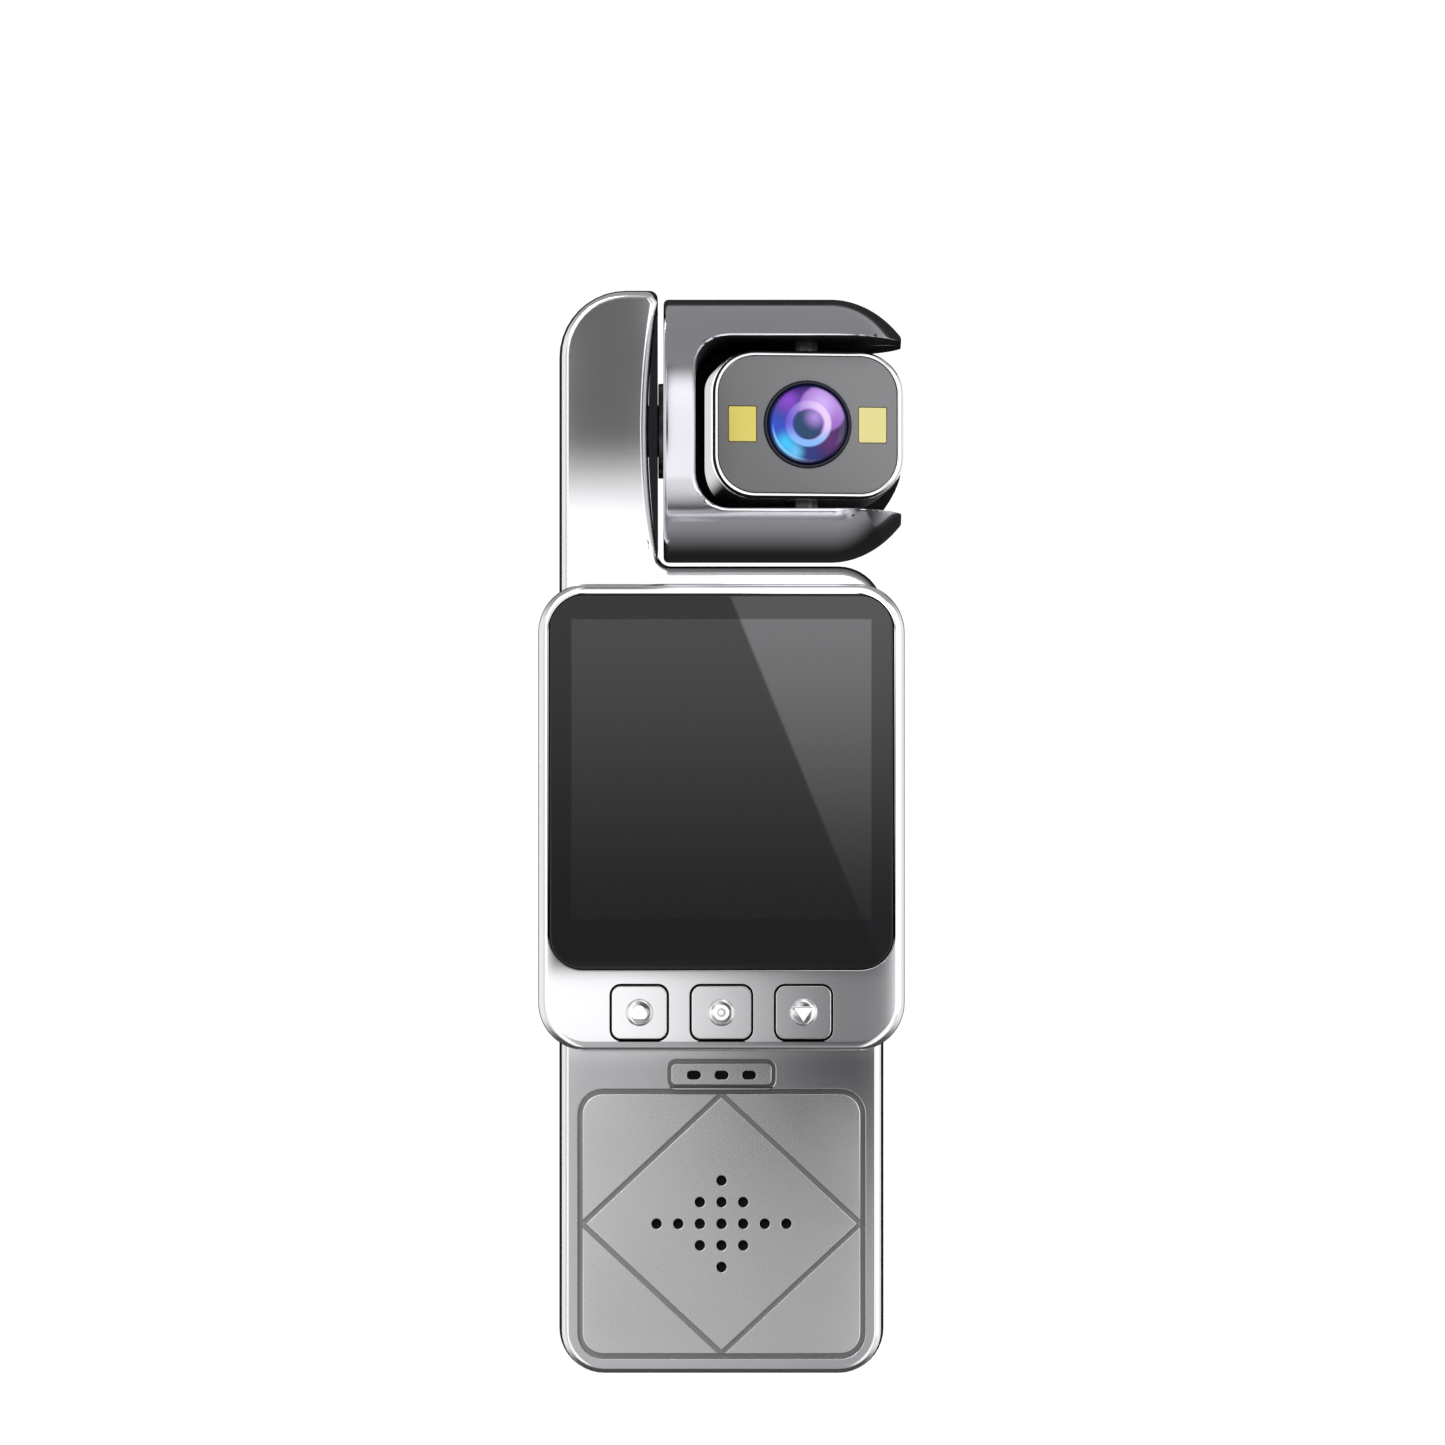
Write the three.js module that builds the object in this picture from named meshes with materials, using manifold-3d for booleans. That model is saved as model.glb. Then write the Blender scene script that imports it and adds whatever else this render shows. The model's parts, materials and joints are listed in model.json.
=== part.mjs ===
// A windscreen dash camera: an L-shaped body with a display and three keys, a cabin camera in a
// turning yoke beside the body's arm, and a road camera in a tilting drum on the far side.
// Millimetres. +Z is up, +Y looks at the road through the windscreen, and -Y looks into the cabin.
// The origin is the centre of the adhesive pad's outer face, which sticks to the glass.
import * as THREE from "three";
import { mergeVertices } from "three/addons/utils/BufferGeometryUtils.js";
import Module from "manifold-3d";

const wasm = await Module();
wasm.setup();

// ---- Driving dimensions, in the body's own frame: z from its foot, y from its cabin face ----
const BODY = {
  width: 30.1, foot: 0, notch: 74.9, top: 100.5, depth: 15,
  armRight: -5.9, cornerR: 4.2, armR: 6.2, tipR: 1.3, notchR: 1.2,
};
const WALL = 1.4;
const CABIN_WALL = 1.8; // the cabin face is thicker, because the speaker panel is let into it
const STEP = 0.25; // the cabin half stands this far inside the road half, all round
const PARTING = 9; // depth of the joint between the two halves
const SEAM = 0.1; // gap between pieces that meet
const ARM_WALL = 2.1; // the arm's wall that carries the yoke's hub

const DISPLAY = { width: 33.8, low: 30.1, high: 73.2, cornerR: 4.5, rear: -5.5, edge: 0.9 };
const GLASS = { width: 31.8, low: 37.6, high: 72.2, cornerR: 3.1, thick: 1 };
const KEY = { height: 4.9, z: 33.66, pitch: 7.57, cornerR: 0.85, gap: 0.15 };
const KEY_WIDTHS = { menu_button: 5.1, ok_button: 5.5, down_button: 5.1 };

const SPEAKER = { z: 14.05, width: 26.7, height: 25, cornerR: 2.4, groove: 0.5, deep: 0.9 };
const GRILLE = { holeR: 0.48, pitch: 2, rows: [0, 1, 3, 1, 0] }; // holes either side of centre
const MIC = { z: 27.9, width: 10.1, height: 2.8, cornerR: 0.9, slotPitch: 2.55 };

const AXIS = { y: 5.5, z: 87.4 }; // the yoke's tilt axis, along X
const YOKE = {
  r: 12.2, left: -5.36, shoulder: 10.1, tip: 16.65, tipR: 8.7, wall: 1.2,
  slotLeft: -2.4, slotHalf: 8, slotR: 3.1, slotBack: 8.6,
};
const YOKE_TILT = -5; // degrees about X: the camera looks a little up
const HUB = { neckR: 4.4, shaftR: 2.4, boreR: 1.4, end: -10.3 };
const SEAT = { halfHeight: 11.9, bulge: 0.95 }; // the black dished plate that the yoke turns against

const POD = {
  x: 7.5, y: -1.8, halfWidth: 8.8, halfHeight: 6.85, cornerR: 4, face: -4.6, rim: 0.45, caseHalf: 9.08,
  wall: 1.1, lensR: 4, ledX: 6.05, pinR: 1.5,
};
const POD_TURN = 6; // degrees about the pod's own upright pins

const DRUM = { y: 12, z: 17, r: 7.2, halfWidth: 7, pinR: 1.5, boreR: 4.75, mouthR: 5.05 };

const PLATE = { z: 54, width: 24, height: 34, cornerR: 3, front: 19 };
const PAD = { width: 22, height: 32, thick: 1.2 };

const BODY_SCREWS = [[-11.1, 4.7], [11.1, 4.7], [11.1, 70.3], [-10.7, 95.6]]; // x, z
const PLATE_SCREWS = [[0, 41], [0, 67]];
const YOKE_SCREW = { x: 3, z: 10.1, shankR: 0.6, headR: 1.1 };

// Ports in the left wall, as their centres and half sizes, and the card's slot in the right wall.
const POWER = { y: 6.5, z: 60.8, half: 2.9, r: 1.55, skin: 0.3, tongue: 0.35, inner: -7.4, setBack: 0.6 };
const JACK = { y: 6.4, z: 47, r: 1.8, boreR: 1.3, half: 2.5, front: 4.65, back: 8.6, inner: -7.2 };
const RESET = { y: 5.4, z: 52.4, r: 0.45 };
const CARD = { y: 5.5, z: 61, half: 5.5, thick: 0.7, x0: -0.3, x1: 14.7 };
const PORT_GAP = 0.1; // between a socket and the hole it looks out of
const PORT_DEPTH = 3; // how far the holes for sockets reach in

const BOSS = { r: 1.33, height: 0.35, sign: 0.5 }; // the round pad on a keycap, and its sign
const STEM = { r: 1, cap: 1.5, flange: 0.35, flangeTop: 1.35, flangeEnd: 1.7, end: 2.1 };
const BEZEL_WALL = 1.2; // the display housing's wall in front of the glass's back and the keys
const LCD = { front: 1.25, back: 2.85, trayFront: 2.95, trayBack: 4.2, inset: 0.4, wall: 0.4 };
const SWITCH = { half: 1.5, front: -2.7, back: -1.65, knob: -2.95, knobR: 0.8 };
const DRIVER = { r: 8, magnetR: 4.6, rim: 3.4, back: 4.3 }; // the speaker
const MIC_CAN = { r: 2, back: 3.3 };
const DISPLAY_WINDOW = { z: 53.5, width: 25, height: 27, r: 2 }; // through the cabin wall
const POST = { pilotR: 1.05, holeR: 1.15, rearR: 2.1, frontR: 2.3, sinkR: 2.05, shankR: 0.9, headR: 1.85 };
const OPENING = { halfWidth: 9.4, halfHeight: 7.6 }; // the drum's window in the road half
const CRADLE = { width: 20.4, height: 19, r: 2.4, proud: 1.1, x: 7.4, thick: 1.6, ear: 3.6 };

// Box-shaped pieces inside the body: low and high x, then y, then z.
const BOXES = {
  key_board: [-12.5, 12.5, -1.6, -0.8, 31.6, 36.6],
  processor: [-4, 8, 4.65, 5.85, 40, 52],
  heat_spreader: [-4.5, 8.5, 5.9, 6.4, 39.5, 52.5],
};
// Plates with rounded corners inside the body: centre x and z, width, height, corner, then y.
const PLATES = {
  main_board: [0, 49.4, 25.4, 37, 1, 3.6, 4.6],
  battery: [3, 52.5, 19, 30, 1, 7, 12.1],
};

const FAR = 60; // longer than any cut needs to be

// ---- Solids: every helper returns a manifold-3d solid made from three.js geometry ----

// A closed three.js geometry as a solid, turned the right way out.
function solid(geometry) {
  const bare = geometry.index ? geometry.toNonIndexed() : geometry.clone();
  bare.deleteAttribute("normal");
  bare.deleteAttribute("uv");
  const merged = mergeVertices(bare, 1e-4);
  const kept = [];
  for (let i = 0; i < merged.index.count; i += 3) {
    const [a, b, c] = merged.index.array.subarray(i, i + 3);
    if (a !== b && b !== c && c !== a) kept.push(a, b, c);
  }
  const make = (triangles) =>
    new wasm.Manifold(
      new wasm.Mesh({
        numProp: 3,
        vertProperties: merged.attributes.position.array,
        triVerts: new Uint32Array(triangles),
      }),
    );
  const made = make(kept);
  return made.volume() > 0 ? made : make(kept.reverse());
}

const union = (...parts) => parts.reduce((all, part) => all.add(part));
const cut = (body, ...tools) => tools.reduce((left, tool) => left.subtract(tool), body);

function block(x0, x1, y0, y1, z0, z1) {
  const geometry = new THREE.BoxGeometry(x1 - x0, y1 - y0, z1 - z0);
  return solid(geometry.translate((x0 + x1) / 2, (y0 + y1) / 2, (z0 + z1) / 2));
}

// Round bars along each axis, between two stations.
function barX(x0, x1, y, z, r, sides = 16) {
  const geometry = new THREE.CylinderGeometry(r, r, x1 - x0, sides).rotateZ(Math.PI / 2);
  return solid(geometry.translate((x0 + x1) / 2, y, z));
}

function barY(y0, y1, x, z, r, sides = 16) {
  const geometry = new THREE.CylinderGeometry(r, r, y1 - y0, sides);
  return solid(geometry.translate(x, (y0 + y1) / 2, z));
}

function barZ(z0, z1, x, y, r, sides = 16) {
  const geometry = new THREE.CylinderGeometry(r, r, z1 - z0, sides).rotateX(Math.PI / 2);
  return solid(geometry.translate(x, y, (z0 + z1) / 2));
}

// An outline in the XZ plane, as a plate from y0 to y1 with square edges.
function plate(outline, y0, y1, curveSegments = 3) {
  const geometry = new THREE.ExtrudeGeometry(outline, {
    depth: y1 - y0, curveSegments, bevelEnabled: false,
  });
  return solid(geometry.rotateX(Math.PI / 2).translate(0, y1, 0));
}

// The same plate with rounded edges on its cabin side (-Y), its road side (+Y), or both.
function softPlate(outline, y0, y1, edge, sides, curveSegments = 3) {
  const low = sides.includes("cabin") ? y0 : y0 - 2 * edge;
  const high = sides.includes("road") ? y1 : y1 + 2 * edge;
  const geometry = new THREE.ExtrudeGeometry(outline, {
    depth: high - low - 2 * edge, curveSegments, bevelEnabled: true,
    bevelThickness: edge, bevelSize: edge, bevelOffset: -edge, bevelSegments: 2,
  });
  const whole = solid(geometry.rotateX(Math.PI / 2).translate(0, high - edge, 0));
  return whole.intersect(block(-FAR, FAR, y0, y1, -FAR, 2 * FAR));
}

// A profile of [radius, station] pairs turned about the X axis, or about the Y axis.
function turned(profile, axis, sides = 32) {
  const points = profile.map(([r, station]) => new THREE.Vector2(r, station));
  const geometry = new THREE.LatheGeometry(points, sides);
  return solid(axis === "x" ? geometry.rotateZ(-Math.PI / 2) : geometry);
}

// A flat ring turned about the X or Y axis, from station s0 to s1.
function ring(inner, outer, s0, s1, axis, sides = 24) {
  return turned([[inner, s0], [outer, s0], [outer, s1], [inner, s1], [inner, s0]], axis, sides);
}

// ---- Outlines in the XZ plane ----

function roundedRect(x, z, width, height, r) {
  const [x0, x1, z0, z1] = [x - width / 2, x + width / 2, z - height / 2, z + height / 2];
  const shape = new THREE.Shape();
  shape.moveTo(x0 + r, z0);
  shape.absarc(x1 - r, z0 + r, r, -Math.PI / 2, 0, false);
  shape.absarc(x1 - r, z1 - r, r, 0, Math.PI / 2, false);
  shape.absarc(x0 + r, z1 - r, r, Math.PI / 2, Math.PI, false);
  shape.absarc(x0 + r, z0 + r, r, Math.PI, 1.5 * Math.PI, false);
  return shape;
}

function polygon(points) {
  return new THREE.Shape(points.map(([x, z]) => new THREE.Vector2(x, z)));
}

// The body's L: a wide lower part, and an arm up its left side. inset moves every side inwards.
function bodyOutline(inset) {
  const [left, right] = [-BODY.width / 2 + inset, BODY.width / 2 - inset];
  const [foot, notch, top] = [BODY.foot + inset, BODY.notch - inset, BODY.top - inset];
  const armRight = BODY.armRight - inset;
  const r = BODY.cornerR - inset;
  const armR = BODY.armR - inset;
  const tipR = Math.max(BODY.tipR - inset, 0.3);
  const notchR = BODY.notchR + inset;
  const quarter = Math.PI / 2;
  const shape = new THREE.Shape();
  shape.moveTo(left + r, foot);
  shape.absarc(right - r, foot + r, r, -quarter, 0, false);
  shape.absarc(right - r, notch - r, r, 0, quarter, false);
  shape.absarc(armRight + notchR, notch + notchR, notchR, 3 * quarter, 2 * quarter, true);
  shape.absarc(armRight - tipR, top - tipR, tipR, 0, quarter, false);
  shape.absarc(left + armR, top - armR, armR, quarter, 2 * quarter, false);
  shape.absarc(left + r, foot + r, r, 2 * quarter, 3 * quarter, false);
  return shape;
}

// The shallow arc of the hinge seat, standing gap inside the hollow that holds it.
function seatOutline(gap) {
  const bulge = SEAT.bulge - gap;
  const half = SEAT.halfHeight - gap;
  const r = (half * half + bulge * bulge) / (2 * bulge);
  const angle = Math.asin(half / r);
  const open = BODY.armRight + 0.5;
  const shape = new THREE.Shape();
  shape.moveTo(open, AXIS.z + half);
  shape.absarc(BODY.armRight - bulge + r, AXIS.z, r, Math.PI - angle, Math.PI + angle, false);
  shape.lineTo(open, AXIS.z - half);
  return shape;
}

const inRect = (z, width, height, r, inset) =>
  roundedRect(0, z, width - 2 * inset, height - 2 * inset, r - inset);
const speakerOutline = (inset) =>
  inRect(SPEAKER.z, SPEAKER.width, SPEAKER.height, SPEAKER.cornerR, inset);
const micOutline = (inset) => inRect(MIC.z, MIC.width, MIC.height, MIC.cornerR, inset);
const glassOutline = (inset) =>
  inRect((GLASS.low + GLASS.high) / 2, GLASS.width, GLASS.high - GLASS.low, GLASS.cornerR, inset);
const keyX = { menu_button: -KEY.pitch, ok_button: 0, down_button: KEY.pitch };
const keyOutline = (name, inset) =>
  roundedRect(keyX[name], KEY.z, KEY_WIDTHS[name] - 2 * inset, KEY.height - 2 * inset, KEY.cornerR);

// ---- Materials ----
const paint = (color, roughness, metalness) =>
  new THREE.MeshStandardMaterial({ color, roughness, metalness });
const silver = paint(0xc9c9cc, 0.25, 0.9);
const gunmetal = paint(0x6c6a70, 0.3, 0.9);
const chrome = paint(0xf0f0f0, 0.08, 1);
const blackPlastic = paint(0x141416, 0.55, 0);
const smokedPanel = paint(0x5c5c5e, 0.35, 0.2);
const darkGlass = paint(0x1b1b1d, 0.05, 0);
const lensGlass = paint(0x3a3a9a, 0.02, 0);
const ledYellow = paint(0xcfc06a, 0.5, 0);
const steel = paint(0x9a9ca0, 0.35, 1);
const boardGreen = paint(0x14502e, 0.6, 0);
const chipBlack = paint(0x1c1c1e, 0.5, 0);
const foam = paint(0x303034, 0.9, 0);
const cellSilver = paint(0xb0b4b8, 0.4, 0.5);

// ---- The body's fixed pieces ----

// A bar along X whose section has round ends up and down, as the power plug's.
function powerBar(x0, x1, r) {
  const [low, high] = [POWER.z - POWER.half, POWER.z + POWER.half];
  return union(
    block(x0, x1, POWER.y - r, POWER.y + r, low, high),
    barX(x0, x1, POWER.y, low, r),
    barX(x0, x1, POWER.y, high, r),
  );
}

// The ports: a socket's mouth cut through a side wall.
function portCuts() {
  const left = -BODY.width / 2;
  const [out, deep] = [left - 1, left + PORT_DEPTH];
  const cardHalf = CARD.half + 2 * PORT_GAP;
  const cardThick = CARD.thick / 2 + 2.5 * PORT_GAP;
  return [
    powerBar(out, deep, POWER.r + 1.5 * PORT_GAP),
    barX(out, deep, JACK.y, JACK.z, JACK.r + PORT_GAP),
    barX(out, deep, RESET.y, RESET.z, RESET.r, 8),
    block(
      -deep, -out, CARD.y - cardThick, CARD.y + cardThick, CARD.z - cardHalf, CARD.z + cardHalf,
    ),
  ];
}

function rearCasing() {
  const shell = softPlate(bodyOutline(STEP), 0, PARTING, 0.65, ["cabin"]);
  const armWall = block(BODY.armRight - ARM_WALL, 0, 0, PARTING + 1, BODY.notch - WALL, FAR * 2);
  const hollow = plate(bodyOutline(WALL + STEP), CABIN_WALL, PARTING + 1).subtract(armWall);
  const posts = BODY_SCREWS.map(([x, z]) => barY(1, PARTING, x, z, POST.rearR, 12));
  const pilots = BODY_SCREWS.map(([x, z]) => barY(2.5, PARTING + 1, x, z, POST.pilotR, 10));
  const window = DISPLAY_WINDOW;
  return cut(
    union(cut(shell, hollow), ...posts.map((post) => post.intersect(shell))),
    ...pilots,
    plate(roundedRect(0, window.z, window.width, window.height, window.r), -1, CABIN_WALL + 1),
    plate(speakerOutline(0), -1, SPEAKER.deep),
    barY(0, CABIN_WALL + 1, 0, SPEAKER.z, DRIVER.r + 0.2, 24),
    plate(micOutline(0), -1, SPEAKER.deep),
    block(-4, 4, 0, CABIN_WALL + 1, MIC.z - 0.8, MIC.z + 0.8),
    plate(seatOutline(0), -1, FAR, 5),
    barX(-9, 0, AXIS.y, AXIS.z, HUB.shaftR + 0.1, 28),
    ...portCuts(),
  );
}

function frontCasing() {
  const rear = PARTING + SEAM;
  const inside = BODY.depth - WALL;
  const shell = softPlate(bodyOutline(0), rear, BODY.depth, 1, ["road"]);
  const armWall = block(BODY.armRight - ARM_WALL, 0, 0, FAR, BODY.notch - WALL, FAR * 2);
  const hollow = plate(bodyOutline(WALL), rear - 1, inside).subtract(armWall);
  const posts = BODY_SCREWS.map(([x, z]) => barY(rear, inside + 0.5, x, z, POST.frontR, 12));
  const holes = BODY_SCREWS.map(([x, z]) => barY(0, FAR, x, z, POST.holeR, 10));
  const sinks = BODY_SCREWS.map(([x, z]) => barY(inside - 0.3, FAR, x, z, POST.sinkR, 12));
  const plateHoles = PLATE_SCREWS.map(([x, z]) => barY(0, FAR, x, z, POST.holeR, 10));
  const { halfWidth, halfHeight } = OPENING;
  return cut(
    union(cut(shell, hollow), ...posts.map((post) => post.intersect(shell))),
    ...holes, ...sinks, ...plateHoles,
    block(-halfWidth, halfWidth, inside - 1, FAR, DRUM.z - halfHeight, DRUM.z + halfHeight),
    plate(seatOutline(0), 0, BODY.depth - 0.9, 5),
  );
}

function hingeSeat() {
  return cut(
    plate(seatOutline(0.1), 0.4, BODY.depth - 1, 5),
    block(BODY.armRight - 0.02, 0, 0, FAR, 0, 2 * FAR),
    barX(-9, 0, AXIS.y, AXIS.z, HUB.shaftR + 0.1, 28),
  );
}

function displayHousing() {
  const middle = (DISPLAY.low + DISPLAY.high) / 2;
  const height = DISPLAY.high - DISPLAY.low;
  const shell = softPlate(
    roundedRect(0, middle, DISPLAY.width, height, DISPLAY.cornerR),
    DISPLAY.rear, -SEAM, DISPLAY.edge, ["cabin"],
  );
  const keyWall = DISPLAY.rear + BEZEL_WALL;
  const keyHoles = Object.keys(keyX).map((name) =>
    plate(keyOutline(name, -KEY.gap), DISPLAY.rear - 1, keyWall + 1),
  );
  return cut(
    shell,
    plate(glassOutline(-0.08), DISPLAY.rear - 1, keyWall),
    plate(glassOutline(0.2), DISPLAY.rear, 1),
    plate(roundedRect(0, KEY.z + 0.19, 27, 6.3, 0.8), keyWall, 1), // the room behind the keys
    ...keyHoles,
  );
}

function displayGlass() {
  return plate(glassOutline(0.02), DISPLAY.rear + 0.1, DISPLAY.rear + 0.1 + GLASS.thick);
}

const lcdPanel = () =>
  plate(glassOutline(LCD.inset), DISPLAY.rear + LCD.front, DISPLAY.rear + LCD.back, 2);

function lcdBackTray() {
  const floor = DISPLAY.rear + LCD.trayFront;
  const tray = plate(glassOutline(LCD.inset), floor, DISPLAY.rear + LCD.trayBack, 2);
  return tray.subtract(plate(glassOutline(LCD.inset + LCD.wall), floor + LCD.wall, 0, 2));
}

function keySwitch(x) {
  const { half, front, back, knob, knobR } = SWITCH;
  const body = block(x - half, x + half, front, back, KEY.z - half, KEY.z + half);
  return body.add(barY(knob, front, x, KEY.z, knobR, 12));
}

// A keycap: its face, a flange behind the housing's wall, a stem, and the round pad with its sign.
function keycap(name) {
  const x = keyX[name];
  const rear = DISPLAY.rear;
  const [top, foot] = [rear - BOSS.sign, rear - BOSS.height + 0.05];
  const triangle = [[x - 0.8, KEY.z + 0.55], [x, KEY.z - 0.8], [x + 0.8, KEY.z + 0.55]];
  const signs = {
    menu_button: plate(roundedRect(x, KEY.z, 1.3, 1.1, 0.25), top, foot, 2),
    ok_button: barY(top, foot, x, KEY.z, 0.7, 14),
    down_button: plate(polygon(triangle), top, foot),
  };
  return union(
    plate(keyOutline(name, 0), rear, rear + STEM.cap),
    plate(keyOutline(name, -STEM.flange), rear + STEM.flangeTop, rear + STEM.flangeEnd),
    barY(rear + STEM.flangeEnd - 0.1, rear + STEM.end, x, KEY.z, STEM.r, 12),
    barY(rear - BOSS.height, rear + 0.1, x, KEY.z, BOSS.r, 20),
    signs[name],
  );
}

function speakerPanel() {
  const half = { x: SPEAKER.width / 2 - SPEAKER.groove, z: SPEAKER.height / 2 - SPEAKER.groove };
  const body = plate(speakerOutline(SPEAKER.groove), 0, SPEAKER.deep - 0.05);
  const line = 0.28; // half the width of the diamond's grooves
  const diamond = (grow) => {
    const [x, z] = [half.x + grow * 1.4, half.z + grow * 1.4];
    return polygon([[0, SPEAKER.z - z], [x, SPEAKER.z], [0, SPEAKER.z + z], [-x, SPEAKER.z]]);
  };
  const grooves = plate(diamond(line), -1, 0.35).subtract(plate(diamond(-line), -2, 1));
  const holes = GRILLE.rows.flatMap((reach, row) => {
    const z = SPEAKER.z + (row - 2) * GRILLE.pitch;
    const across = Array.from({ length: 2 * reach + 1 }, (_, i) => i - reach);
    return across.map((i) => barY(-1, 2, i * GRILLE.pitch, z, GRILLE.holeR, 8));
  });
  return cut(body, grooves, ...holes);
}

function microphonePlate() {
  const body = plate(micOutline(0.4), 0, SPEAKER.deep - 0.05);
  const slots = [-1, 0, 1].map((i) =>
    plate(roundedRect(i * MIC.slotPitch, MIC.z - 0.1, 1.3, 0.8, 0.38), -1, 2, 2),
  );
  return cut(body, ...slots);
}

function speaker() {
  return union(
    barY(CABIN_WALL + SEAM, DRIVER.rim, 0, SPEAKER.z, DRIVER.r, 28),
    barY(DRIVER.rim - 0.1, DRIVER.back, 0, SPEAKER.z, DRIVER.magnetR, 20),
  );
}

const microphone = () => barY(CABIN_WALL + SEAM, MIC_CAN.back, 0, MIC.z, MIC_CAN.r, 14);
const innerPlate = ([x, z, width, height, r, y0, y1]) =>
  plate(roundedRect(x, z, width, height, r), y0, y1, 1);

// A card-sized block between two x stations, grown by the given amounts in y and z.
const cardBlock = (x0, x1, growY, growZ) =>
  block(
    x0, x1, CARD.y - CARD.thick / 2 - growY, CARD.y + CARD.thick / 2 + growY,
    CARD.z - CARD.half - growZ, CARD.z + CARD.half + growZ,
  );
const memoryCard = () => cardBlock(CARD.x0, CARD.x1, 0, 0);
const cardSocket = () =>
  cardBlock(CARD.x0 - 1.2, CARD.x1 - 2.1, 0.5, 0.9)
    .subtract(cardBlock(CARD.x0 - 0.3, CARD.x1, 0.1, 0.1));

function powerPort() {
  const [x0, x1] = [-BODY.width / 2 + POWER.setBack, POWER.inner];
  const mouth = powerBar(x0 - 1, x1 - 1, POWER.r - POWER.skin);
  const reach = POWER.half + 0.4;
  const tongue = block(
    x0 + 1, x1, POWER.y - POWER.tongue, POWER.y + POWER.tongue, POWER.z - reach, POWER.z + reach,
  );
  return powerBar(x0, x1, POWER.r).subtract(mouth).add(tongue);
}

function avJack() {
  const { y, z, half, front, back } = JACK;
  const x0 = -BODY.width / 2 + WALL + STEP + PORT_GAP;
  const barrel = barX(-BODY.width / 2 + 0.5, x0 + 1, y, z, JACK.r);
  const housing = block(x0, JACK.inner, front, back, z - half, z + half);
  return cut(housing.add(barrel), barX(-FAR, JACK.inner - 0.8, y, z, JACK.boreR, 28));
}

function bodyScrew([x, z]) {
  const head = BODY.depth - WALL - 0.2;
  const drive = barY(head + 0.5, FAR, x, z, 0.6, 6);
  const shank = barY(5, head, x, z, POST.shankR, 10);
  return shank.add(barY(head, head + 1.1, x, z, POST.headR, 14)).subtract(drive);
}

// The frame round the drum's opening, with the two ears that carry its pins.
function lensCradle() {
  const outline = roundedRect(0, DRUM.z, CRADLE.width, CRADLE.height, CRADLE.r);
  const [back, front] = [BODY.depth + SEAM / 2, BODY.depth + CRADLE.proud];
  const frame = softPlate(outline, back, front, 0.5, ["road"], 2);
  const ear = (side) => {
    const middle = side * (CRADLE.x + CRADLE.thick / 2);
    return block(
      middle - CRADLE.thick / 2, middle + CRADLE.thick / 2,
      DRUM.y - CRADLE.ear + 0.4, BODY.depth + 0.5, DRUM.z - CRADLE.ear, DRUM.z + CRADLE.ear,
    );
  };
  const [halfWidth, halfHeight] = [DRUM.halfWidth + 0.3, DRUM.r - 0.35];
  return cut(
    union(frame, ear(-1), ear(1)),
    block(-halfWidth, halfWidth, 0, FAR, DRUM.z - halfHeight, DRUM.z + halfHeight),
    barX(-FAR, FAR, DRUM.y, DRUM.z, DRUM.pinR + 0.1, 20),
  );
}

function mountPlate() {
  const outline = roundedRect(0, PLATE.z, PLATE.width, PLATE.height, PLATE.cornerR);
  const body = softPlate(outline, BODY.depth + 0.05, PLATE.front, 0.6, ["road"]);
  return cut(body, ...PLATE_SCREWS.map(([x, z]) => barY(0, 18, x, z, 1, 10)));
}

function plateScrew([x, z]) {
  const head = BODY.depth - WALL - 0.05;
  return barY(head - 1, head, x, z, 1.8, 14).add(barY(head, 17.5, x, z, 0.85, 10));
}

function adhesivePad() {
  const outline = roundedRect(0, PLATE.z, PAD.width, PAD.height, PLATE.cornerR - 1);
  return plate(outline, PLATE.front + 0.02, PLATE.front + PAD.thick);
}

// ---- The yoke, in its own frame: x as on the body, and y and z from its tilt axis ----

// The yoke's skin turned about its axis: a barrel whose open end is domed. inset thickens inwards.
function yokeBarrel(inset) {
  const r = YOKE.r - inset;
  const left = YOKE.left + inset;
  const edge = 0.4;
  const sweep = Math.acos(YOKE.tipR / YOKE.r);
  const reach = (YOKE.tip - inset - YOKE.shoulder) / Math.sin(sweep);
  const dome = new THREE.EllipseCurve(0, YOKE.shoulder, r, reach, 0, sweep, false, 0).getPoints(7);
  const domePoints = dome.map((point) => [point.x, point.y]);
  return turned(
    [[0, left], [r - edge, left], [r, left + edge], ...domePoints, [0, domePoints.at(-1)[1]]],
    "x", 40,
  );
}

// The slot the pod sits in, open to the cabin and to the right, as far back as the given depth.
const yokeSlot = (grow, back) =>
  plate(
    roundedRect(
      YOKE.slotLeft - grow + FAR / 2, 0, FAR, 2 * (YOKE.slotHalf + grow), YOKE.slotR + grow,
    ),
    -FAR, back,
  );

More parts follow.
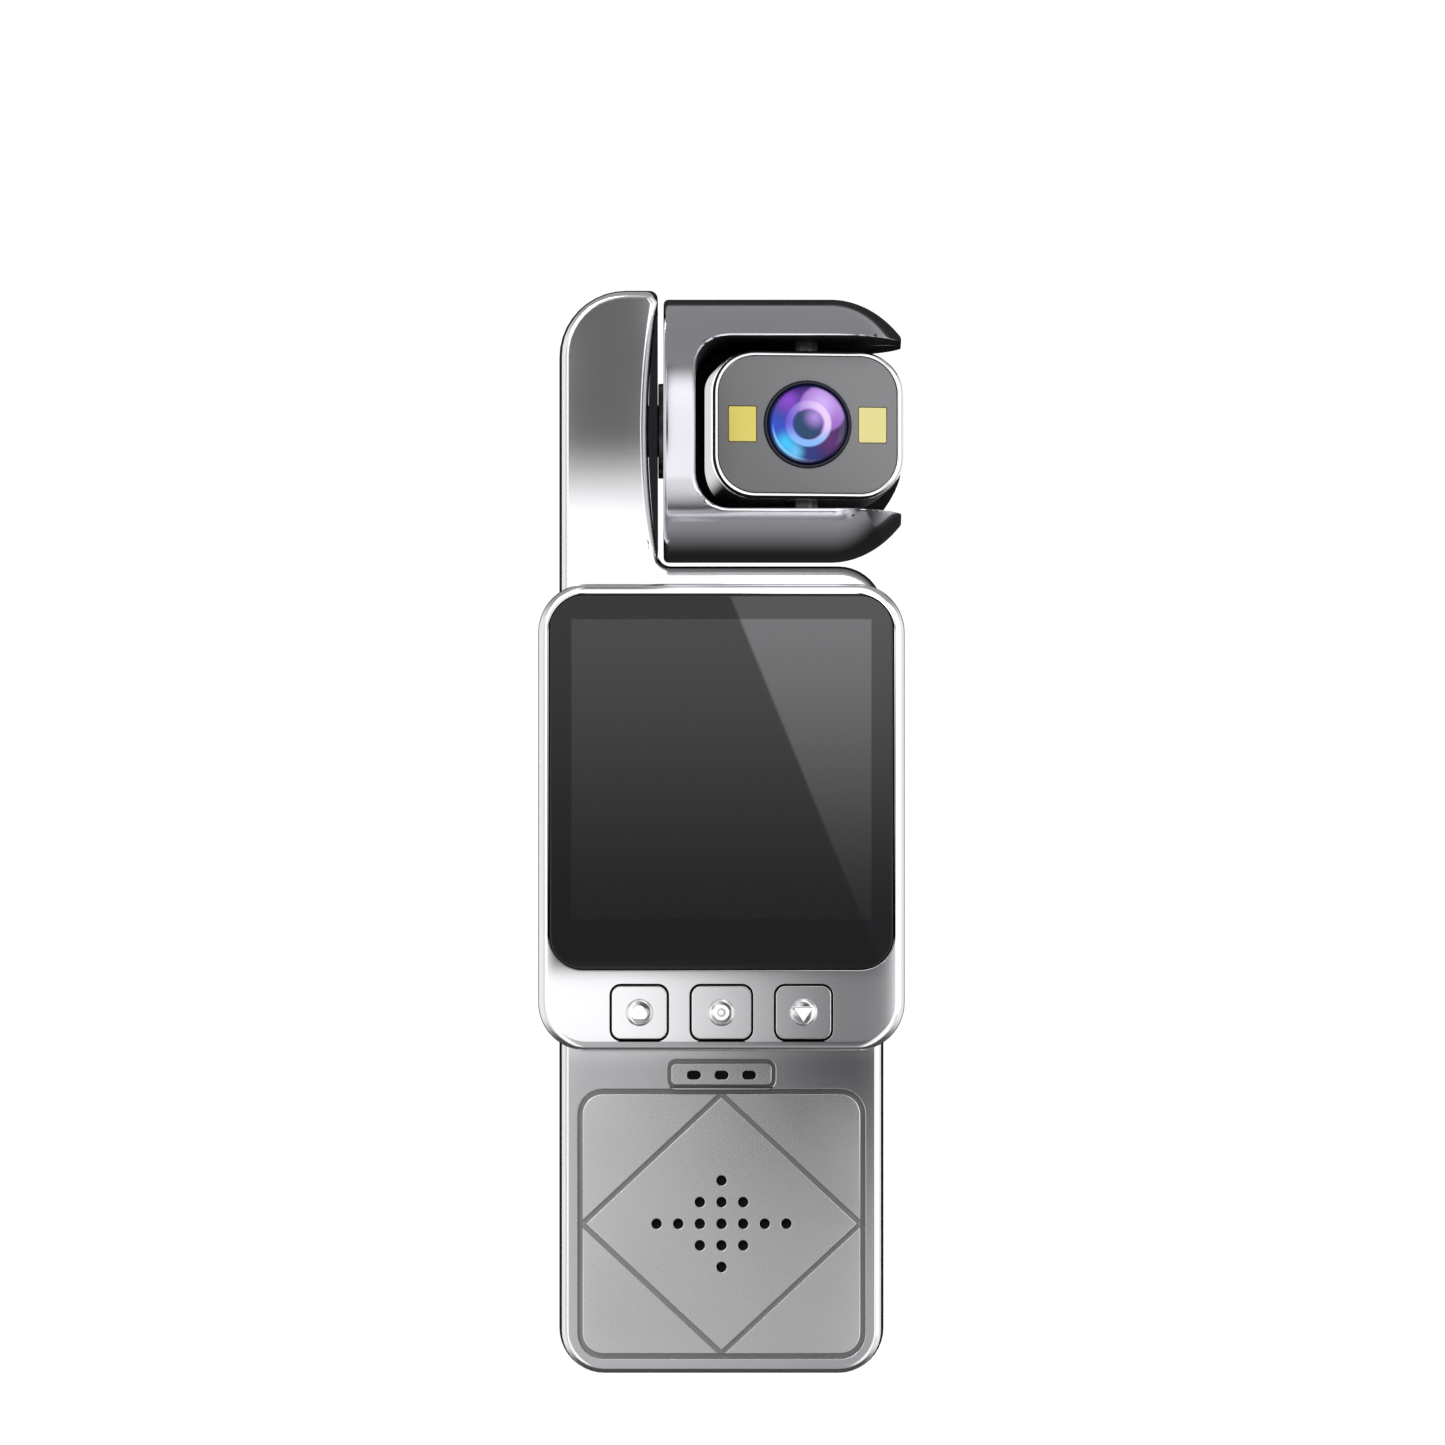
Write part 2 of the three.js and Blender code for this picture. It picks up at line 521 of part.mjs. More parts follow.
// One half of the yoke: side -1 is the half that faces the cabin, +1 the half that faces the road.
function yokeShell(side) {
  const skin = yokeBarrel(0).subtract(yokeSlot(0, YOKE.slotBack));
  const hollow = yokeBarrel(YOKE.wall).subtract(yokeSlot(YOKE.wall, FAR));
  const posts = [-1, 1].map((up) =>
    barY(-8, 8, YOKE_SCREW.x, up * YOKE_SCREW.z, 1.75, 12).intersect(skin),
  );
  const half = side < 0
    ? block(-FAR, FAR, -FAR, -SEAM / 2, -FAR, FAR)
    : block(-FAR, FAR, SEAM / 2, FAR, -FAR, FAR);
  const screwCuts = [-1, 1].flatMap((up) => [
    barY(-4, FAR, YOKE_SCREW.x, up * YOKE_SCREW.z, YOKE_SCREW.shankR + 0.15, 8),
    barY(4, FAR, YOKE_SCREW.x, up * YOKE_SCREW.z, YOKE_SCREW.headR + 0.15, 12),
  ]);
  const hub = union(
    barX(YOKE.left - 1, YOKE.slotLeft - 1.7, 0, 0, HUB.neckR + 0.1, 28),
    barX(YOKE.left + YOKE.wall, YOKE.slotLeft - 1.05, 0, 0, HUB.neckR + 1.2, 28),
  );
  const pins = barZ(-10, 10, POD.x, POD.y, POD.pinR + 0.1, 24);
  return cut(union(cut(skin, hollow), ...posts), ...screwCuts, hub, pins).intersect(half);
}

function yokeHub() {
  const flange = YOKE.left + YOKE.wall + 0.05;
  return turned(
    [
      [HUB.boreR, HUB.end], [HUB.shaftR, HUB.end], [HUB.shaftR, BODY.armRight + 0.05],
      [HUB.neckR, BODY.armRight + 0.05], [HUB.neckR, flange], [HUB.neckR + 1, flange],
      [HUB.neckR + 1, flange + 0.55], [HUB.boreR, flange + 0.55], [HUB.boreR, HUB.end],
    ],
    "x", 28,
  );
}

const ARM_INSIDE = BODY.armRight - ARM_WALL;
const frictionWasher = () => ring(HUB.shaftR + 0.1, 3.4, ARM_INSIDE - 0.6, ARM_INSIDE - 0.1, "x");
const hubNut = () => ring(HUB.shaftR + 0.1, 3.3, HUB.end + 0.3, ARM_INSIDE - 0.7, "x");

function yokeScrew(up) {
  const { x, z, shankR, headR } = YOKE_SCREW;
  return union(barY(-3.5, 4.1, x, up * z, shankR, 8), barY(4.05, 4.9, x, up * z, headR, 12));
}

// ---- The cabin camera pod, in its own frame about its upright pins ----

// The pod's D-shaped plan met with its rounded face outline. inset moves its sides inwards.
function podBody(inset, front) {
  const half = POD.caseHalf - inset;
  const plan = new THREE.Shape();
  plan.moveTo(-half, front);
  plan.lineTo(half, front);
  plan.absarc(0, 0, half, 0, Math.PI, false);
  const extrusion = { depth: 20, curveSegments: 12, bevelEnabled: false };
  const tall = solid(new THREE.ExtrudeGeometry(plan, extrusion));
  const outline = roundedRect(0, 0, 2 * half, 2 * (POD.halfHeight - inset), POD.cornerR - inset);
  return tall.translate([0, 0, -10]).intersect(plate(outline, -20, 20, 4));
}

const podOutline = (inset) =>
  roundedRect(
    0, 0, 2 * (POD.halfWidth - inset), 2 * (POD.halfHeight - inset), POD.cornerR - inset,
  );

function podShell() {
  const hollow = podBody(POD.wall, POD.face - 1);
  const pinHoles = barZ(-10, 10, 0, 0, POD.pinR + 0.05, 24);
  return cut(podBody(0, POD.face + 1.1), hollow, pinHoles);
}

function podRim() {
  const body = softPlate(podOutline(0), POD.face, POD.face + 1, 0.4, ["cabin"], 4);
  return body.subtract(plate(podOutline(POD.rim), -FAR, FAR, 4));
}

function podFace() {
  const leds = [-1, 1].map((side) =>
    block(side * POD.ledX - 1.35, side * POD.ledX + 1.35, -FAR, FAR, -1.7, 1.7),
  );
  return cut(
    plate(podOutline(POD.rim + 0.05), POD.face + 0.1, POD.face + 0.9, 4),
    barY(-FAR, FAR, 0, 0, POD.lensR + 0.05, 32), ...leds,
  );
}

const podLed = (side) =>
  block(side * POD.ledX - 1.28, side * POD.ledX + 1.28, POD.face + 0.15, POD.face + 1.1, -1.63, 1.63);
const podLedBoard = () =>
  plate(podOutline(1.3), POD.face + 1.2, POD.face + 1.9).subtract(barY(-FAR, FAR, 0, 0, 4.1, 28));

function podLensBarrel() {
  const [front, seat] = [POD.face - 0.1, POD.face + 1.1];
  const lip = POD.lensR - 0.2;
  return turned(
    [
      [2.9, seat], [lip, seat], [lip, front], [POD.lensR, front], [POD.lensR, POD.face + 2.2],
      [3.4, POD.face + 2.2], [3.4, 0.1], [2.9, 0.1], [2.9, seat],
    ],
    "y", 32,
  );
}

// A glass lens: a dome of radius r that bulges out from a flat back, along -Y or +Y.
function lensDome(r, back, edge, apex, sides = 28) {
  const bulge = new THREE.EllipseCurve(0, edge, r, apex - edge, 0, Math.PI / 2, false, 0);
  const points = bulge.getPoints(6).map((p) => [Math.max(p.x, 0), p.y]);
  return turned([[0, back], [r, back], ...points.slice(0, -1), [0, apex]], "y", sides);
}

const podLens = () => lensDome(POD.lensR - 0.26, POD.face + 1, POD.face + 0.2, POD.face - 0.7);
const podSensorBoard = () => block(-5.5, 5.5, 0.8, 1.6, -4.5, 4.5);
const podSensor = () => block(-2.2, 2.2, 0.15, 0.75, -2, 2);
const podPin = (side) => {
  const [low, high] = side > 0 ? [5.9, 9.3] : [-9.3, -5.9];
  return barZ(low, high, 0, 0, POD.pinR, 24).subtract(barZ(-FAR, FAR, 0, 0, 0.8, 10));
};

// ---- The road camera's drum, in its own frame about its pins ----

function lensDrum() {
  const edge = 0.5;
  const [r, half] = [DRUM.r, DRUM.halfWidth];
  const body = turned(
    [
      [0, -half - 1.8], [DRUM.pinR, -half - 1.8], [DRUM.pinR, -half], [r - edge, -half],
      [r, -half + edge], [r, half - edge], [r - edge, half], [DRUM.pinR, half],
      [DRUM.pinR, half + 1.8], [0, half + 1.8],
    ],
    "x", 36,
  );
  return cut(body, barY(-3, FAR, 0, 0, DRUM.boreR, 28), barY(3.9, FAR, 0, 0, DRUM.mouthR, 28));
}

const roadLensBarrel = () =>
  turned(
    [[3.3, -1], [4.65, -1], [4.65, 3.8], [3.95, 3.8], [3.95, 2], [3.3, 2], [3.3, -1]], "y", 28,
  );
const roadLensRing = () =>
  turned([[4.05, 4], [4.95, 4], [4.95, 4.8], [4.75, 5], [4.3, 5], [4.05, 4]], "y", 32);
const roadLens = () => lensDome(3.85, 2.1, 4.2, 6.3);
const roadSensorBoard = () => block(-3.1, 3.1, -2.7, -2, -3.1, 3.1);

// ---- Assembly ----

const body = new THREE.Group();
body.position.set(0, -PLATE.front - PAD.thick, -PLATE.z);

const yoke = new THREE.Group();
yoke.position.set(0, AXIS.y, AXIS.z);
yoke.rotation.x = THREE.MathUtils.degToRad(YOKE_TILT);

const pod = new THREE.Group();
pod.position.set(POD.x, POD.y, 0);
pod.rotation.z = THREE.MathUtils.degToRad(POD_TURN);

const drum = new THREE.Group();
drum.position.set(0, DRUM.y, DRUM.z);

function add(group, name, shape, material) {
  const { vertProperties, triVerts } = shape.getMesh();
  const geometry = new THREE.BufferGeometry();
  geometry.setAttribute("position", new THREE.BufferAttribute(vertProperties, 3));
  geometry.setIndex(new THREE.BufferAttribute(triVerts, 1));
  const mesh = new THREE.Mesh(geometry, material);
  mesh.name = name;
  group.add(mesh);
}

add(body, "rear_casing", rearCasing(), silver);
add(body, "front_casing", frontCasing(), blackPlastic);
add(body, "hinge_seat", hingeSeat(), blackPlastic);
add(body, "display_housing", displayHousing(), silver);
add(body, "display_glass", displayGlass(), darkGlass);
add(body, "lcd_panel", lcdPanel(), chipBlack);
add(body, "lcd_back_tray", lcdBackTray(), steel);
add(body, "key_board", block(...BOXES.key_board), boardGreen);
add(body, "speaker_panel", speakerPanel(), silver);
add(body, "microphone_plate", microphonePlate(), silver);
add(body, "speaker", speaker(), chipBlack);
add(body, "microphone", microphone(), steel);
add(body, "main_board", innerPlate(PLATES.main_board), boardGreen);
add(body, "processor", block(...BOXES.processor), chipBlack);
add(body, "heat_spreader", block(...BOXES.heat_spreader), steel);
add(body, "battery", innerPlate(PLATES.battery), cellSilver);
add(body, "card_socket", cardSocket(), steel);
add(body, "memory_card", memoryCard(), chipBlack);
add(body, "power_port", powerPort(), steel);
add(body, "av_jack", avJack(), blackPlastic);
add(body, "lens_cradle", lensCradle(), blackPlastic);
add(body, "mount_plate", mountPlate(), blackPlastic);
add(body, "adhesive_pad", adhesivePad(), foam);
Object.keys(keyX).forEach((name, i) => {
  add(body, name, keycap(name), silver);
  add(body, `key_switch_${i + 1}`, keySwitch(keyX[name]), blackPlastic);
});
BODY_SCREWS.forEach((place, i) => add(body, `body_screw_${i + 1}`, bodyScrew(place), steel));
PLATE_SCREWS.forEach((place, i) => add(body, `plate_screw_${i + 1}`, plateScrew(place), steel));

add(yoke, "yoke_cabin_shell", yokeShell(-1), gunmetal);
add(yoke, "yoke_road_shell", yokeShell(1), gunmetal);
add(yoke, "yoke_hub", yokeHub(), blackPlastic);
add(yoke, "friction_washer", frictionWasher(), steel);
add(yoke, "hub_nut", hubNut(), steel);
add(yoke, "yoke_screw_upper", yokeScrew(1), steel);
add(yoke, "yoke_screw_lower", yokeScrew(-1), steel);

add(pod, "pod_shell", podShell(), silver);
add(pod, "pod_rim", podRim(), chrome);
add(pod, "pod_face", podFace(), smokedPanel);
add(pod, "pod_led_left", podLed(-1), ledYellow);
add(pod, "pod_led_right", podLed(1), ledYellow);
add(pod, "pod_led_board", podLedBoard(), boardGreen);
add(pod, "pod_lens_barrel", podLensBarrel(), blackPlastic);
add(pod, "pod_lens", podLens(), lensGlass);
add(pod, "pod_sensor_board", podSensorBoard(), boardGreen);
add(pod, "pod_sensor", podSensor(), chipBlack);
add(pod, "pod_pin_upper", podPin(1), steel);
add(pod, "pod_pin_lower", podPin(-1), steel);

add(drum, "lens_drum", lensDrum(), blackPlastic);
add(drum, "road_lens_barrel", roadLensBarrel(), blackPlastic);
add(drum, "road_lens_ring", roadLensRing(), chrome);
add(drum, "road_lens", roadLens(), lensGlass);
add(drum, "road_sensor_board", roadSensorBoard(), boardGreen);

yoke.add(pod);
body.add(yoke, drum);

const dashCamera = new THREE.Group();
dashCamera.add(body);

export default dashCamera;
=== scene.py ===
import json
import math

import bmesh
import bpy
from mathutils import Matrix, Vector
from mathutils.geometry import tessellate_polygon

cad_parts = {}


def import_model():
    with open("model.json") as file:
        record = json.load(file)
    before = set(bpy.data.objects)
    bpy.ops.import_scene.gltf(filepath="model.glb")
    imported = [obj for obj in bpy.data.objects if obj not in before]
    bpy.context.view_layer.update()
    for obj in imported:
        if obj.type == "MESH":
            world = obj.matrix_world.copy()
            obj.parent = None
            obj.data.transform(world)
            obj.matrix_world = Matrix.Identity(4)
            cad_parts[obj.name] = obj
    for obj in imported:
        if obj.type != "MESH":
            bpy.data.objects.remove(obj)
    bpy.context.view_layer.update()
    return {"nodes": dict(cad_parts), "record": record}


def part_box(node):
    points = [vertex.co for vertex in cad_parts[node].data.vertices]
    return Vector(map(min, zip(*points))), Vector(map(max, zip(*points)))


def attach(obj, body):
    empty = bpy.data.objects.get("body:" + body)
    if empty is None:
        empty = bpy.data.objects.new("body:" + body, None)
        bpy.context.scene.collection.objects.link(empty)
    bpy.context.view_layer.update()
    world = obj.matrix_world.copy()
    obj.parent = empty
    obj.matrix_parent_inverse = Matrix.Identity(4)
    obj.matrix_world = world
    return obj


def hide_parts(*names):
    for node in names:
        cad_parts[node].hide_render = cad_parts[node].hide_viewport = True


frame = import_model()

MM = 0.001
FAR = 60.0  # a length that reaches past every shape
EDGE_STEPS = 5  # steps round a rounded edge
STRIP = 0.035  # the flat strip beside a rounded edge
WELD = 0.004  # points nearer to each other than this become one
SHARP = math.radians(38)  # an edge that turns by more than this is bevelled


def span(node):
    """A CAD node's box in millimetres, as three (low, high) pairs."""
    low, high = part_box(node)
    return [(low[i] / MM, high[i] / MM) for i in range(3)]


# ---- Driving dimensions: from the frame where it has them ----

road, cabin, bezel, glass = (
    span(n) for n in ("front_casing", "rear_casing", "display_housing", "display_glass")
)
FACE = cabin[1][0]  # the cabin face of the body, y
FOOT = road[2][0]  # the foot of the body, z
HALF_WIDTH = road[0][1]
STEP = road[0][1] - cabin[0][1]
TOP = road[2][1] - FOOT
PARTING = cabin[1][1] - FACE
DEPTH = road[1][1] - FACE
ARM_RIGHT = span("hinge_seat")[0][1] + 0.02
NOTCH, CORNER_R, ARM_R, TIP_R, NOTCH_R = 74.9, 4.2, 6.2, 0.8, 1.2
SEAT_HALF, SEAT_BULGE = 11.9, 0.95
SPEAKER_R, HOLE_PITCH, HOLE_R, BEZEL_R = 1.9, 2.0, 0.48, 4.5
JACK_Y, CARD_Y, RESET_Y, RESET_Z = 6.4, 5.5, 5.4, 52.4
YOKE_TILT, POD_TURN = -5.0, 6.0  # how far they are turned at rest, in degrees
JOINTS = {joint["name"]: joint for joint in frame["record"]["behaviour"]["joints"]}


def placed(at, *turns):
    """The matrix that takes millimetres in a part's own frame to metres in the shared frame."""
    place = Matrix.Translation(Vector(at))
    for angle, axis in turns:
        place = place @ Matrix.Rotation(math.radians(angle), 4, axis)
    return Matrix.Scale(MM, 4) @ place


def pivot(joint):
    return Vector(JOINTS[joint]["pos_m"]) / MM


BODY = placed((0, FACE, FOOT))
YOKE = placed(pivot("yoke_tilt"), (YOKE_TILT, "X"))
POD = placed(pivot("pod_swivel"), (YOKE_TILT, "X"), (POD_TURN, "Z"))
DRUM = placed(pivot("road_lens_tilt"))
AXIS_Z = pivot("yoke_tilt").z - FOOT  # height of the yoke's axis over the foot
DRUM_Z = pivot("road_lens_tilt").z - FOOT  # height of the drum's axis over the foot
BODY_SCREWS = [f"body_screw_{number}" for number in (1, 2, 3, 4)]


def centre_of(node):
    """The middle of a CAD node's box, in the body's own frame."""
    return [sum(ends) / 2 - start for ends, start in zip(span(node), (0, FACE, FOOT))]


# ---- Outlines: closed loops of (x, z) points, anticlockwise ----


def arc(x, z, r, start, end, steps=10):
    """Points on an arc round (x, z), from start to end in degrees."""
    turns = (math.radians(start + (end - start) * k / steps) for k in range(steps + 1))
    return [Vector((x + r * math.cos(t), z + r * math.sin(t))) for t in turns]


def rounded_rect(x, z, width, height, r, steps=10):
    a, b = width / 2 - r, height / 2 - r
    corners = ((a, -b, -90), (a, b, 0), (-a, b, 90), (-a, -b, 180))
    return [p for dx, dz, t in corners for p in arc(x + dx, z + dz, r, t, t + 90, steps)]


def circle(x, z, r, steps=32):
    return arc(x, z, r, 0, 360, steps)[:-1]


def plate_loop(node, r, inset=0.0, steps=10):
    """The outline of a CAD plate that lies square on the body, drawn in by inset."""
    x, _, z = span(node)
    width, height = x[1] - x[0] - 2 * inset, z[1] - z[0] - 2 * inset
    return rounded_rect(0, centre_of(node)[2], width, height, r - inset, steps)


def body_outline(inset):
    """The body's L, its arm's right side hollowed by the dished seat of the hinge."""
    left, right = -HALF_WIDTH + inset, HALF_WIDTH - inset
    foot, notch, top, arm = inset, NOTCH - inset, TOP - inset, ARM_RIGHT - inset
    r, arm_r, tip_r, notch_r = CORNER_R - inset, ARM_R - inset, TIP_R, NOTCH_R + inset
    bulge_r = (SEAT_HALF**2 + SEAT_BULGE**2) / (2 * SEAT_BULGE)
    sweep = math.degrees(math.asin(SEAT_HALF / bulge_r))
    dish = arc(ARM_RIGHT - SEAT_BULGE + bulge_r, AXIS_Z, bulge_r, 180 + sweep, 180 - sweep, 24)
    return [
        *arc(right - r, foot + r, r, -90, 0),
        *arc(right - r, notch - r, r, 0, 90),
        *arc(arm + notch_r, notch + notch_r, notch_r, 270, 182, 6)[:-1],
        *dish,
        *arc(arm - tip_r, top - tip_r, tip_r, 3, 90, 6)[1:],
        *arc(left + arm_r, top - arm_r, arm_r, 90, 180),
        *arc(left + r, foot + r, r, 180, 270),
    ]


def offset(loop, distance):
    """The loop moved to the left of its own direction, with mitred corners."""
    moved = []
    for i, point in enumerate(loop):
        before = (point - loop[i - 1]).normalized()
        after = (loop[(i + 1) % len(loop)] - point).normalized()
        side = Vector((-before.y - after.y, before.x + after.x)).normalized()
        moved.append(point + side * distance / max(side.dot(Vector((-before.y, before.x))), 0.4))
    return moved


# ---- Solids: bmesh shapes in millimetres ----


def quarter(radius):
    """A rounded edge as (inset, depth) pairs, from the flat face to the side wall.

    A narrow flat strip comes first, which keeps the edge's shading off the face."""
    if radius <= 0:
        return [(0, 0)]
    turns = (math.pi / 2 * k / EDGE_STEPS for k in range(EDGE_STEPS + 1))
    curve = [(radius * (1 - math.sin(t)), radius * (1 - math.cos(t))) for t in turns]
    return [(radius + STRIP, 0), *curve]


def add_ring(bm, loop, y):
    return [bm.verts.new((p.x, y, p.y)) for p in loop]


def bridge(bm, rings):
    for a, b in zip(rings, rings[1:]):
        for i in range(len(a)):
            bm.faces.new((a[i - 1], a[i], b[i], b[i - 1]))


def fill(bm, rings):
    """A flat face between an outer ring and the rings inside it."""
    corners = [vert for ring in rings for vert in ring]
    for triangle in tessellate_polygon([[vert.co for vert in ring] for ring in rings]):
        bm.faces.new([corners[i] for i in triangle])


def slab(outer, face, back, edge=0.0, back_edge=0.0, pockets=()):
    """A plate between two y stations with rounded edges, and pockets sunk into its face.

    A pocket is (loop, floor station, radius of its lip)."""
    bm = bmesh.new()
    into = 1 if back > face else -1
    stations = [(inset, face + into * depth) for inset, depth in quarter(edge)]
    stations += [(inset, back - into * depth) for inset, depth in reversed(quarter(back_edge))]
    rings = [add_ring(bm, offset(outer, inset), y) for inset, y in stations]
    bridge(bm, rings)
    mouths = []
    for loop, floor, lip in pockets:
        loop = loop[::-1]
        walls = [(inset, face + into * depth) for inset, depth in quarter(lip)] + [(0, floor)]
        pocket = [add_ring(bm, offset(loop, inset), y) for inset, y in walls]
        bridge(bm, pocket)
        fill(bm, [pocket[-1]])
        mouths.append(pocket[0])
    fill(bm, [rings[0], *mouths])
    fill(bm, [rings[-1]])
    return bm


def softened(points):
    """A path of (r, s) or (r, s, fillet) points with its corners rounded."""
    flat = [Vector(p[:2]) for p in points]
    path = []
    for i, point in enumerate(points):
        radius = point[2] if len(point) > 2 else 0
        here = flat[i]
        if not radius or i in (0, len(points) - 1):
            path.append(here)
            continue
        back, on = (flat[i - 1] - here).normalized(), (flat[i + 1] - here).normalized()
        half = back.angle(on) / 2
        reach = radius / math.tan(half)
        centre = here + (back + on).normalized() * (radius / math.sin(half))
        start, end = here + back * reach - centre, here + on * reach - centre
        turn = start.angle_signed(end)
        for k in range(EDGE_STEPS + 1):
            path.append(centre + Matrix.Rotation(-turn * k / EDGE_STEPS, 2) @ start)
    return path


def turned(points, axis="Y", sides=64, phase=0.0):
    """A path of (r, s) points turned about an axis; it starts and ends on the axis or closes."""
    bm = bmesh.new()
    path = softened(points)
    closed = (path[0] - path[-1]).length < 1e-6
    path = path[:-1] if closed else path
    rings = []
    for r, s in path:
        ring = []
        for k in range(sides if r > 1e-6 else 1):
            t = 2 * math.pi * (k + phase) / sides
            a, b = r * math.cos(t), r * math.sin(t)
            ring.append(bm.verts.new({"X": (s, a, b), "Y": (a, s, b), "Z": (a, b, s)}[axis]))
        rings.append(ring)
    pairs = list(zip(rings, rings[1:])) + ([(rings[-1], rings[0])] if closed else [])
    for a, b in pairs:
        for i in range(sides):
            corners = {id(v): v for v in (a[i - 1 if len(a) > 1 else 0], a[i % len(a)],
                                          b[i % len(b)], b[i - 1 if len(b) > 1 else 0])}
            if len(corners) > 2:
                bm.faces.new(list(corners.values()))
    return bm


def tidy(bm):
    """The shape with near points welded, slivers dissolved and its faces turned outwards."""
    bmesh.ops.remove_doubles(bm, verts=bm.verts, dist=WELD)
    bmesh.ops.dissolve_degenerate(bm, edges=bm.edges, dist=WELD)
    bmesh.ops.recalc_face_normals(bm, faces=bm.faces)
    return bm


def as_object(bm, name="work"):
    mesh = bpy.data.meshes.new(name)
    bm.to_mesh(mesh)
    bm.free()
    made = bpy.data.objects.new(name, mesh)
    bpy.context.scene.collection.objects.link(made)
    return made


def evaluated(work):
    """The object's mesh with its modifiers applied."""
    graph = bpy.context.evaluated_depsgraph_get()
    return bpy.data.meshes.new_from_object(work.evaluated_get(graph), depsgraph=graph)


def with_modifier(bm, kind, other=None, **settings):
    """The shape after one Blender modifier, which may use another shape."""
    work = as_object(tidy(bm))
    modifier = work.modifiers.new(kind, kind)
    if other:
        modifier.object = as_object(tidy(other))
    for key, value in settings.items():
        setattr(modifier, key, value)
    result = bmesh.new()
    result.from_mesh(evaluated(work))
    for done in (modifier.object if other else None, work):
        if done:
            bpy.data.objects.remove(done)
    return result


def carve(bm, cutter, operation="DIFFERENCE"):
    return with_modifier(bm, "BOOLEAN", cutter, operation=operation, solver="EXACT")


def bevel(bm, width):
    return with_modifier(
        bm, "BEVEL", width=width, segments=3, limit_method="ANGLE", angle_limit=SHARP,
        use_clamp_overlap=False,
    )


def moved(bm, x=0.0, y=0.0, z=0.0):
    bmesh.ops.translate(bm, verts=bm.verts, vec=(x, y, z))
    return bm


def cuboid(x0, x1, y0, y1, z0, z1):
    return slab(rounded_rect((x0 + x1) / 2, (z0 + z1) / 2, x1 - x0, z1 - z0, 1e-3, 1), y0, y1)


def join(*shapes):
    whole = bmesh.new()
    for shape in shapes:
        part = bpy.data.meshes.new("part")
        shape.to_mesh(part)
        shape.free()
        whole.from_mesh(part)
    return whole


# ---- Materials ----


class Nodes:
    """Short calls for building the node tree of a new material, or of the world."""

    def __init__(self, name, world=None):
        self.material = world or bpy.data.materials.new(name)
        self.material.use_nodes = True
        self.tree = self.material.node_tree
        self.shader = self.tree.nodes.get("Principled BSDF")

    def add(self, kind, **settings):
        node = self.tree.nodes.new("ShaderNode" + kind)
        for key, value in settings.items():
            setattr(node, key, value)
        return node

    def feed(self, socket, value):
        if isinstance(value, bpy.types.NodeSocket):
            self.tree.links.new(value, socket)
        else:
            socket.default_value = value

    def math(self, operation, *values):
        node = self.add("Math", operation=operation)
        for socket, value in zip(node.inputs, values):
            self.feed(socket, value)
        return node.outputs[0]

    def vector(self, operation, *values):
        node = self.add("VectorMath", operation=operation)
        for socket, value in zip(node.inputs, values):
            self.feed(socket, value)
        return node.outputs["Value" if operation in ("DOT_PRODUCT", "DISTANCE", "LENGTH") else 0]

    def remap(self, value, low, high, to_low=0.0, to_high=1.0):
        node = self.add("MapRange", interpolation_type="SMOOTHSTEP")
        for socket, each in zip(node.inputs, (value, low, high, to_low, to_high)):
            self.feed(socket, each)
        return node.outputs[0]

    def mix(self, factor, a, b):
        node = self.add("Mix", data_type="RGBA")
        self.feed(node.inputs["Factor"], factor)
        self.feed(node.inputs[6], a if isinstance(a, bpy.types.NodeSocket) else (*a, 1))
        self.feed(node.inputs[7], b if isinstance(b, bpy.types.NodeSocket) else (*b, 1))
        return node.outputs[2]

    def position(self):
        return self.add("TexCoord").outputs["Object"]

    def noise(self, size_mm, detail=3.0):
        """Noise whose blotches are about size_mm across."""
        mapping = self.add("Mapping")
        mapping.inputs["Scale"].default_value = [1 / (size_mm * MM)] * 3
        self.feed(mapping.inputs["Vector"], self.position())
        node = self.add("TexNoise")
        node.inputs["Scale"].default_value = 1.0
        node.inputs["Detail"].default_value = detail
        self.feed(node.inputs["Vector"], mapping.outputs[0])
        return node.outputs["Fac"]

    def plane(self, place, x=0.0, z=0.0, unit=1.0):
        """Coordinates in a part's own x and z, measured in units of so many millimetres."""
        axes = place.to_3x3() * (1 / MM)
        centre = place @ Vector((x, 0, z))
        from_centre = self.vector("SUBTRACT", self.position(), centre)
        scale = 1 / (unit * MM)
        across = self.vector("DOT_PRODUCT", from_centre, axes @ Vector((scale, 0, 0)))
        up = self.vector("DOT_PRODUCT", from_centre, axes @ Vector((0, 0, scale)))
        return across, up

    def bump(self, height, depth_mm):
        node = self.add("Bump")
        node.inputs["Strength"].default_value = 1.0
        node.inputs["Distance"].default_value = depth_mm * MM
        self.feed(node.inputs["Height"], height)
        self.feed(self.shader.inputs["Normal"], node.outputs[0])

    def set(self, **sockets):
        for name, value in sockets.items():
            socket = self.shader.inputs[name.replace("_", " ")]
            colour = isinstance(value, tuple) and len(value) == 3
            self.feed(socket, (*value, 1) if colour else value)

    def glow(self, colour):
        """Makes the material give off the colour instead of reflecting light."""
        self.tree.nodes.remove(self.shader)
        emission = self.add("Emission")
        self.feed(emission.inputs["Color"], colour)
        self.feed(self.tree.nodes["Material Output"].inputs["Surface"], emission.outputs[0])
        return self.material


def coated(name, colour, other, roughness, metallic, grain=0.25, bump=0.0, patch=9.0, **extra):
    """A paint, plastic or metal: two near colours in soft patches, uneven gloss and a fine grain."""
    nodes = Nodes(name)
    patches = nodes.noise(patch, 4)
    nodes.set(Base_Color=nodes.mix(nodes.remap(patches, 0.3, 0.7), colour, other))
    fine = nodes.noise(grain, 2)
    low, high = roughness
    nodes.set(Roughness=nodes.remap(nodes.math("MULTIPLY", patches, fine), 0.1, 0.4, low, high))
    nodes.set(Metallic=metallic, **extra)
    if bump:
        nodes.bump(fine, bump)
    return nodes.material


